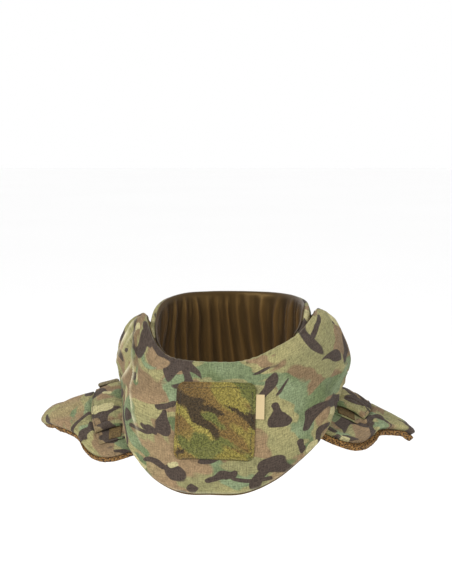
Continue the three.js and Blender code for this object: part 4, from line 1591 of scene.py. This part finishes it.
@dataclass
class ShoulderPad:
    """A shoulder pad: a cover over spacer mesh, with the tunnel for a strap.

    Sizes are in millimetres. The ridge is the pad's top line, at y = 0.
    """

    side: Side
    column: int  # its column in the pads' tables
    fall: float  # how fast it falls away in front of the ridge and behind it
    ridge_width: float  # how wide the ridge is rounded
    seam_reach: float  # from the middle of the neck opening to the tunnel's outer seam
    seam_peak: float  # where along y that seam lies farthest out
    seam_bow: float  # how much it bows in from there
    mouth: float  # from the ridge forward to the tunnel's mouth
    collar: NeckCollar
    shoulder_reach: float = 198.0  # reach that the outline's shares are of
    drop: float = 42.0  # height that the ridge's shares are of
    cover: float = 4.6  # thickness of the cover with its foam
    cover_edge: float = 2.2  # the same at its edge
    mesh: float = 7.4  # thickness of the mesh
    mesh_edge: float = 5.0  # the same at its edge
    edge_width: float = 14.0  # how far in the mesh is full
    tunnel_inner: float = 106.0  # from the middle to the tunnel's inner end
    tunnel_back: float = 45.0  # from the ridge back to the tunnel's rear
    ledge: float = 12.0  # how far the base shows in front of the mouth
    clearance: float = 1.8  # room below the flap
    flap_thickness: float = 2.0
    roundness: float = 0.85  # form of the flap's arch
    hem: float = 2.2  # height of the flap's rolled front edge
    hem_width: float = 6.8
    base_thickness: float = 0.8
    strip_width: float = 17.0
    strip_inset: float = 5.0
    strip_thickness: float = 0.9
    tuck: float = 0.0  # how far the cover is set back from the mesh's edge
    front_tuck: float = 2.5  # the same at the front
    lip: float = 0.9  # how far the mesh stands up past the cover
    blunt: float = 1.0  # how full the cover is at its tip

    @property
    def depth(self) -> float:
        """From the collar to the tip."""
        return self.shoulder_reach - self.collar.radius

    @property
    def tunnel(self) -> float:
        """Length of the flap over the tunnel."""
        return self.mouth + self.tunnel_back

    @property
    def floor(self) -> float:
        """Height of the base's top over the pad."""
        return LAY_GAP + self.base_thickness

    def rise(self, x: Array, y: Array) -> Array:
        """Height of the pad's top face."""
        ridge = along(PAD_RIDGE, np.abs(x) / self.shoulder_reach, self.column) * self.drop
        return ridge - self.fall * (np.sqrt(1 + (y / self.ridge_width) ** 2) - 1)

    def face(self, u: Array, w: Array) -> Array:
        """The top face: u from the front end to the back, w from the collar to the edge."""
        angle = PAD_OUTLINE[0, 0] + (PAD_OUTLINE[-1, 0] - PAD_OUTLINE[0, 0]) * u
        turned = -angle if self.side is Side.RIGHT else angle - 360
        inner = self.collar.foot_reach(turned) + self.collar.thickness / 2 + GAP
        reach = inner + (along(PAD_OUTLINE, angle, self.column) * self.shoulder_reach - inner) * w
        a = np.radians(angle)
        x, y = self.side.value * np.sin(a) * reach, -np.cos(a) * reach
        return np.stack([x, y, self.rise(x, y)], axis=-1)

    def layer(self, offset: Face) -> Face:
        """The face moved out: straight up beside the collar, along its normal farther out."""

        def at(u: Array, w: Array) -> Array:
            """A point of it."""
            out = normals_of(self.face, u, w, self.side is Side.LEFT)
            share = smoothstep(0, 0.35, w)[..., None]
            way = unit(out * share + np.array([0, 0, 1.0]) * (1 - share))
            return self.face(u, w) + way * offset(u, w)[..., None]

        return at

    def border(self, u: Array, w: Array) -> Array:
        """Distance from the pad's free edge."""
        return np.minimum(np.minimum(u, 1 - u) * 2 * self.depth, (1 - w) * self.depth)

    def set_back(self, face: Face) -> Face:
        """A face drawn in from the mesh's edge, most at the front."""

        def at(u: Array, w: Array) -> Array:
            """A point of it."""
            tuck = self.tuck + (self.front_tuck - self.tuck) * smoothstep(0.5, 0.2, u)
            return face(u, w * (1 - tuck / self.depth))

        return at

    def build_cover(self, material: Material) -> None:
        """Makes the camouflage cover with its foam."""

        def crown(u: Array, w: Array) -> Array:
            """Offset of the top face."""
            border = self.border(u, w)
            tip = smoothstep(0.3, 0.5, u) * smoothstep(0.75, 0.6, u) * hump(border, 5, 7)
            edge = (fullness(border, 5.0) - 1) * (self.cover - self.cover_edge)
            return edge + 0.8 * fullness(border, 20.0) + self.blunt * tip

        outer, inner = (
            self.set_back(self.layer(offset)) for offset in (crown, lambda u, w: u * 0 - self.cover)
        )
        us, ws = even(64, (0.004, 0.01)), even(22, more=(0.97, 0.985, 0.995))
        shell = Shell(f"pad_cover_{self.side.word}", outer, inner, us, ws, self.side is Side.LEFT)
        piece = Filling(pressure=2.5, slack=0.02, most=1.6, stiffness=0.8).quilt(
            shell,
            lambda u, w: smoothstep(1.0, 12.0, self.border(u, w)) * smoothstep(0.0, 0.12, w) * 0.6,
            1,
            self.puckers,
        )
        finished(piece, material, "camouflage_cloth", f"shoulder_pad_{self.side.word}")

    def puckers(self, u: Array, w: Array, skin: Array, p: Array) -> Array:
        """Height of the gathers by the mesh, the bank beside the tunnel, the creases and a swell."""
        x, y, _ = p.T
        border = self.border(u, w)
        gathers = soft_noise(p, 5.5, 41 + self.column, 30) * 0.28 * hump(border, 6, 5)
        seam = -0.5 * hump(border, 4.2, 0.9)
        past = np.abs(x) - self.seam_at(y)
        on_tunnel = (y > -self.mouth - 4) & (y < self.tunnel_back)
        bank = 2.8 * smoothstep(0.2, 2.2, past) * np.exp(-np.maximum(past, 0) / 20) * on_tunnel
        drag = 0.55 * np.sin((y + 0.3 * np.abs(x)) * math.pi / 9.5 + soft_noise(p, 30, 47) * 2)
        for at in (12.0, 33.0):
            off = y + at + 3 * np.sin(x / 17 + at)
            drag = drag + 0.7 * hump(off, -3.4, 2.4) - 1.5 * hump(off, 0, 1.3)
        bank = bank + drag * smoothstep(5, 16, border) * (past > 0) * smoothstep(0, 10, past)
        swell = soft_noise(p, 16, 44 + self.column) * 0.2
        swell = np.where(past < 2, np.minimum(0, swell), swell) + bank - 0.8 * (past < 0)
        return (gathers + seam + swell) * smoothstep(0.3, 0.9, skin)

    def build_mesh(self, material: Material) -> None:
        """Makes the thick spacer mesh below the cover."""

        def above(u: Array, w: Array) -> Array:
            """Offset of the top face, with the lip that shows past the cover."""
            return -self.cover - GAP + self.lip * smoothstep(0.975, 0.995, w)

        def below(u: Array, w: Array) -> Array:
            """Offset of the underside."""
            fill = fullness(self.border(u, w), self.edge_width)
            return -self.cover - GAP - self.mesh_edge - (self.mesh - self.mesh_edge) * fill

        def knit(u: Array, w: Array, skin: Array, p: Array) -> Array:
            """Height of the mesh's knobs, on its rim and its underside."""
            return (soft_noise(p, 1.5, 51, 40) * 0.12 - 0.1) * (1 - smoothstep(0.9, 1.0, skin))

        name, ws = f"pad_mesh_{self.side.word}", even(30, more=(0.972, 0.98, 0.988, 0.995))
        flipped = self.side is Side.LEFT
        piece = Shell(name, self.layer(above), self.layer(below), even(110), ws, flipped).build()
        self.split_rim(piece)
        subdivided(piece, 1)
        sculpt(piece, knit)
        finished(piece, material, "spacer_mesh", f"mesh_pad_{self.side.word}")

    def split_rim(self, piece: Piece) -> None:
        """Cuts rows into the mesh's rim, so that it can bulge."""
        mesh = piece.data
        skin = spots(mesh)[2]
        rim = [e.index for e in mesh.edges if abs(skin[e.vertices[0]] - skin[e.vertices[1]]) > 0.5]
        bpy.ops.object.select_all(action="DESELECT")
        bpy.context.view_layer.objects.active = piece
        piece.select_set(True)
        bpy.ops.object.mode_set(mode="EDIT")
        bpy.ops.mesh.select_all(action="DESELECT")
        bpy.ops.mesh.select_mode(type="EDGE")
        bpy.ops.object.mode_set(mode="OBJECT")
        for index in rim:
            mesh.edges[index].select = True
        bpy.ops.object.mode_set(mode="EDIT")
        bpy.ops.mesh.subdivide_edgering(number_cuts=3, interpolation="LINEAR", profile_shape_factor=0.0)
        bpy.ops.object.mode_set(mode="OBJECT")
        piece.select_set(False)

    def seam_at(self, y: Array) -> Array:
        """Distance of the tunnel's outer seam from the middle of the neck opening."""
        return self.seam_reach - self.seam_bow * (np.abs(y) - self.seam_peak) ** 2

    def full(self, u: Array, y: Array) -> Array:
        """Across the whole tunnel."""
        return self.tunnel_inner + (self.seam_at(y) - self.tunnel_inner) * u

    def cloth(self, first: float, last: float, across: Face) -> Face:
        """A cloth on the pad.

        Args:
            first: Its front end, as a distance behind the ridge.
            last: Its rear end.
            across: Its distance from the middle of the neck opening, by u and y.

        Returns:
            Its face.
        """

        def at(u: Array, v: Array) -> Array:
            """A point of it."""
            y = first + (last - first) * v
            x = self.side.value * across(u, y)
            return np.stack([x, y + 0 * x, self.rise(x, y)], axis=-1)

        return at

    def build_base(self, material: Material) -> Piece:
        """Makes the cloth below the flap."""
        flipped = self.side is Side.RIGHT
        face = self.cloth(-self.mouth - self.ledge, self.tunnel_back, self.full)

        def under(u: Array, v: Array) -> Array:
            """Height of the underside, with a slow swell that is nothing at the ends."""
            return LAY_GAP + soft_noise(face(u, v), 12, 61 + self.column) * 0.12 * np.sin(math.pi * u)

        outer = raised(face, lambda u, v: under(u, v) + self.base_thickness, flipped)
        inner = raised(face, under, flipped)
        name = f"tunnel_cloth_{self.side.word}"
        piece = Shell(name, outer, inner, even(30, (0.01,)), even(70, (0.005,)), flipped).build()
        finished(piece, material, "camouflage_cloth", f"tunnel_base_{self.side.word}")
        return piece

    def build_strip(self, material: Material) -> None:
        """Makes the strip of hook tape in the tunnel."""
        flipped, word = self.side is Side.RIGHT, self.side.word
        start = self.tunnel_inner + self.strip_inset
        face = self.cloth(
            -self.mouth - self.ledge + 2, self.tunnel_back - 2, lambda u, y: start + self.strip_width * u
        )
        floor = self.floor + GAP * 0.6

        def top(u: Array, v: Array) -> Array:
            """Height of the hooks."""
            hooks = soft_noise(face(u, v), 1.6, 71, 36) * 0.12 * (u > 0.03) * (u < 0.97)
            return floor + self.strip_thickness + hooks

        outer, inner = raised(face, top, flipped), raised(face, lambda u, v: u * 0 + floor, flipped)
        us, vs = even(24, (0.02,)), even(130, (0.004,))
        piece = Shell(f"hook_tape_{word}", outer, inner, us, vs, flipped).build()
        finished(piece, material, "hook_tape", f"hook_strip_{word}")

    def flap_under(self, u: Array, v: Array) -> Array:
        """Height of the flap's underside over the pad."""
        arch = np.sin(math.pi * np.clip(u, 0, 1)) ** self.roundness
        room = self.clearance * (1 - 0.5 * smoothstep(0.3, 0.55, v))
        return self.floor + GAP + (self.strip_thickness + room) * arch

    def flap_over(self, u: Array, v: Array) -> Array:
        """Height of the flap's top, with the roll of its folded front edge."""
        y, half = v * self.tunnel, self.hem_width / 2
        roll = self.hem * np.sqrt(np.clip(1 - ((y - half) / half) ** 2, 0, 1)) * (y < self.hem_width)
        front = self.flap_thickness * fullness(y + 0.25, 2.2)
        back = 0.5 + 0.5 * fullness(self.tunnel - y + 0.2, 2.0)
        ends = 0.25 + 0.75 * fullness(np.minimum(u, 1 - u) * 30 + 0.3, 2.4)
        return self.flap_under(u, v) + (front + roll) * back * ends

    def pleats(self, u: Array, v: Array, skin: Array, p: Array) -> Array:
        """Height of soft pleats across the flap, deepest at its seams, and of the hem's groove."""
        edge = np.minimum(u, 1 - u)
        lean = p[:, 1] + p[:, 0] * 0.12 + soft_noise(p, 24, 81 + self.column) * 2.5
        wave = 0.5 - 1.9 * (1 - np.abs(np.sin(lean * math.pi / 14.5))) ** 1.8
        wave = wave + np.sin(lean * 2 * math.pi / 6.1 + 1) * 0.22
        deep = (0.6 + 0.4 * np.exp(-edge / 0.22)) * smoothstep(0.07, 0.12, v)
        groove = -1.3 * hump(v * self.tunnel, 7.6, 1.1)
        return (wave * deep + groove) * smoothstep(0.4, 1.0, skin) * smoothstep(0.0, 0.04, edge)

    def build_flap(self, material: Material) -> Piece:
        """Makes the flap that arches over the tunnel, its front edge folded into a roll."""
        flipped = self.side is Side.RIGHT
        face = self.cloth(-self.mouth, self.tunnel_back, self.full)
        outer, inner = raised(face, self.flap_over, flipped), raised(face, self.flap_under, flipped)
        us, vs = even(32, (0.01,)), even(46, more=(0.004, 0.01, 0.017, 0.03, 0.055, 0.075, 0.995))

        def free(u: Array, v: Array) -> Array:
            """How free it is to move, nothing at its seams and its hem."""
            ends = smoothstep(0.09, 0.16, v) * smoothstep(0.0, 0.08, 1 - v)
            return smoothstep(0.03, 0.2, np.minimum(u, 1 - u)) * ends

        shell = Shell(f"tunnel_flap_{self.side.word}", outer, inner, us, vs, flipped)
        filling = Filling(pressure=1.5, slack=0.05, most=1.6, stiffness=0.3)
        piece = filling.quilt(shell, free, 1, self.pleats)
        finished(piece, material, "camouflage_cloth", f"strap_flap_{self.side.word}")
        return piece

    def build_seams(self, flap: Piece, base: Piece, thread: Material) -> None:
        """Sews the flap's outer seam, its hem and the base's edge."""
        t = np.linspace(0.0, 1.0, 80)
        high = np.array([0, 0, 5.0])
        over = self.cloth(-self.mouth, self.tunnel_back, self.full)
        lines = [
            over(t * 0 + 0.975, 0.01 + t * 0.98) + high,
            over(0.06 + t * 0.88, t * 0 + 8.2 / self.tunnel) + high,
        ]
        sewing = Stitching(pitch=2.3, length=2.3, thread=0.8, sunk=0.2)
        piece = sewing.sew(f"flap_stitches_{self.side.word}", lines, surface_of(flap))
        finished(piece, thread, "camouflage_cloth")
        below = self.cloth(-self.mouth - self.ledge, self.tunnel_back, self.full)
        lines = [
            below(0.04 + t * 0.92, t * 0 + 0.014) + high,
            below(t * 0 + 0.955, 0.01 + t * 0.1) + high,
        ]
        sewing = Stitching(pitch=2.5, length=2.0, thread=0.7)
        piece = sewing.sew(f"base_stitches_{self.side.word}", lines, surface_of(base))
        finished(piece, thread, "camouflage_cloth")


@dataclass
class RearTab:
    """The short webbing tab, folded over, at the back of the right tunnel.

    Attributes:
        pad: The pad that it is on.
        length: Its length across the tunnel.
        width: Its width.
        thickness: Its thickness.
        inset: From the tunnel's outer seam to the tab.
        start: From the ridge back to the tab.
        edge: Its thickness at the edge, as a share.
    """

    pad: ShoulderPad
    length: float = 22.0
    width: float = 18.0
    thickness: float = 5.0
    inset: float = 6.0
    start: float = 3.0
    edge: float = 0.55

    def build(self, material: Material) -> None:
        """Makes the tab."""
        pad = self.pad
        flipped = pad.side is Side.RIGHT
        inner = pad.seam_reach - self.inset - self.length
        face = pad.cloth(self.start, self.start + self.width, lambda u, y: inner + self.length * u)
        flap = pad.strip_thickness + pad.clearance * 0.5 + pad.flap_thickness
        floor = pad.floor + GAP + flap + GAP
        edge = self.thickness * self.edge

        def top(u: Array, v: Array) -> Array:
            """Height of the folded webbing."""
            border = from_border(u, v, self.length, self.width)
            return floor + edge + (self.thickness - edge) * fullness(border + 0.2, 3.2)

        def under(u: Array, v: Array) -> Array:
            """Height of the underside, off the flap along its front."""
            return floor + 1.3 * smoothstep(0.5, 0.1, v) * smoothstep(0.0, 0.2, u)

        outer, inside = raised(face, top, flipped), raised(face, under, flipped)
        us, vs = even(26, (0.01,)), even(20, (0.015,))
        piece = Shell("webbing_tab_right", outer, inside, us, vs, flipped).build()
        subdivided(piece, 1)
        finished(piece, material, "camouflage_cloth", "rear_tab_right")


@dataclass
class Closure:
    """A hook-and-loop patch between the guard's end and the collar."""

    side: Side

    def build(self, material: Material) -> None:
        """Makes the patch from its CAD solid, with rounded edges and a hooked face."""
        word = self.side.word
        piece = linked(f"closure_tape_{word}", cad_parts[f"closure_{word}"].data.copy())
        modified(piece, "WELD", merge_threshold=0.00001)
        rounded = {"width": 0.0007, "segments": 2, "limit_method": "ANGLE", "angle_limit": math.radians(40)}
        modified(piece, "BEVEL", **rounded)
        finished(piece, material, "hook_tape", f"closure_{word}")


# ---------------------------------------------------------------- studio


@dataclass(frozen=True)
class Studio:
    """A pale floor, soft light and the camera.

    Attributes:
        look_from: Where the camera stands.
        look_at: What it looks at.
        lens: Its focal length, in millimetres.
        floor_height: Height of the floor.
        lamps: Each lamp's name, place, size and power.
        lit: The point that the lamps shine at.
    """

    look_from: Triple = (-0.0042, -1.4918, 0.2674)
    look_at: Triple = (-0.0042, 0.0, 0.1106)
    lens: float = 87.23
    floor_height: float = -0.45
    lamps: tuple = (("key", (-1.7, -1.5, 1.5), 0.9, 54), ("fill", (1.6, -1.6, 0.6), 1.4, 13))
    lit: Triple = (0.0, 0.0, 0.02)

    def aimed(self, name: str, data: bpy.types.ID, place: Triple, target: Triple) -> Piece:
        """Puts a lamp or a camera at a place and turns it to a target."""
        thing = linked(name, data)
        thing.location = place
        thing.rotation_euler = (Vector(target) - Vector(place)).to_track_quat("-Z", "Y").to_euler()
        return thing

    def build_camera(self) -> None:
        """Sets the camera at the reference view."""
        data = bpy.data.cameras.new("front_view")
        data.lens, data.sensor_width, data.clip_end = self.lens, 36.0, 60
        bpy.context.scene.camera = self.aimed("front_view", data, self.look_from, self.look_at)

    def build_floor(self) -> None:
        """Lays the pale floor."""
        bpy.ops.mesh.primitive_grid_add(
            x_subdivisions=40, y_subdivisions=40, size=80, location=(0, 0, self.floor_height)
        )
        floor = bpy.context.object
        floor.name = "studio_floor"
        nodes = Nodes("pale_floor")
        tone = nodes.ramp(nodes.noise(nodes.solid(), 0.4, 2.0), 0.3, 0.7, 0.975, 0.985)
        floor.data.materials.append(nodes.surface(tone, 0.8, Specular_IOR_Level=0.1))

    def build_lights(self) -> None:
        """Hangs the lamps and sets the white surroundings."""
        world = bpy.data.worlds.new("studio")
        world.use_nodes = True
        sky = world.node_tree.nodes["Background"]
        sky.inputs[0].default_value, sky.inputs[1].default_value = (1, 1, 1, 1), 1.0
        bpy.context.scene.world = world
        for name, place, size, power in self.lamps:
            data = bpy.data.lights.new(name, "AREA")
            data.shape, data.size, data.energy = "DISK", size, power
            self.aimed(name, data, place, self.lit)
        view = bpy.context.scene.view_settings
        view.view_transform, view.look, view.exposure, view.gamma = "Standard", "None", 0.0, 1.0


def main() -> None:
    """Builds the neck guard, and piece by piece."""
    logging.basicConfig(level=logging.INFO, format="%(message)s", stream=sys.stdout, force=True)
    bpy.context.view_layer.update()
    studio = Studio()
    studio.build_camera()

    camo_guard = PrintedCloth("camouflage_guard", Camouflage((0.31, 0.12, 0.0))).material()
    camo_collar = PrintedCloth("camouflage_collar", Camouflage((1.72, 0.55, 0.0))).material()
    # the guard's back lining gets the satin's streaks of painted sheen
    back = SatinLining("guard_back", rgb(124, 101, 68), rgb(150, 126, 88), 0.75).material()
    hook, mesh = HookTape().material(), SpacerMesh().material()
    thread = Thread("dark_thread", rgb(52, 45, 32)).material()

    guard = ThroatGuard()
    cover = guard.build_cover(camo_guard)
    guard.build_lining(back)
    panel = guard.build_panel(cover, LoopPile().material())
    guard.build_label(cover, WovenLabel().material())
    guard.build_seams(panel, thread)

    collar = NeckCollar()
    right = ShoulderPad(
        Side.RIGHT, 1, fall=25.0, ridge_width=29.0, seam_reach=145.0, seam_peak=22.0, seam_bow=0.0048,
        mouth=60.0, collar=collar, strip_width=12.5, blunt=3.4,
    )
    left = ShoulderPad(
        Side.LEFT, 2, fall=13.0, ridge_width=27.0, seam_reach=150.0, seam_peak=0.0, seam_bow=0.0064,
        mouth=43.0, collar=collar, tuck=2.5, front_tuck=7.0,
    )
    collar.pads = {Side.RIGHT: right, Side.LEFT: left}
    collar.build_cover(camo_collar)
    collar.build_lining(SatinLining().material())
    # the left pad's cloth is a brighter copy: painted light that lifts it out of the shade on its side
    for pad, shift, shade in ((right, 0.9, 1.0), (left, 0.9 + 0.71, 1.14)):
        word = pad.side.word
        pad_print = Camouflage((shift, 0.21, 0.0), turn=20, branches=0.7)
        pad.build_cover(PrintedCloth(f"camouflage_pad_{word}", pad_print, shade).material())
        pad.build_mesh(mesh)
        flap_print = Camouflage((shift + 1.3, 0.83, 0.0), turn=-15)
        flap_cloth = PrintedCloth(f"camouflage_flap_{word}", flap_print, shade).material()
        base = pad.build_base(flap_cloth)
        pad.build_strip(hook)
        pad.build_seams(pad.build_flap(flap_cloth), base, thread)
    RearTab(right).build(Webbing().material())
    for side in Side:
        Closure(side).build(hook)

    studio.build_floor()
    studio.build_lights()


if __name__ == "__main__":
    main()
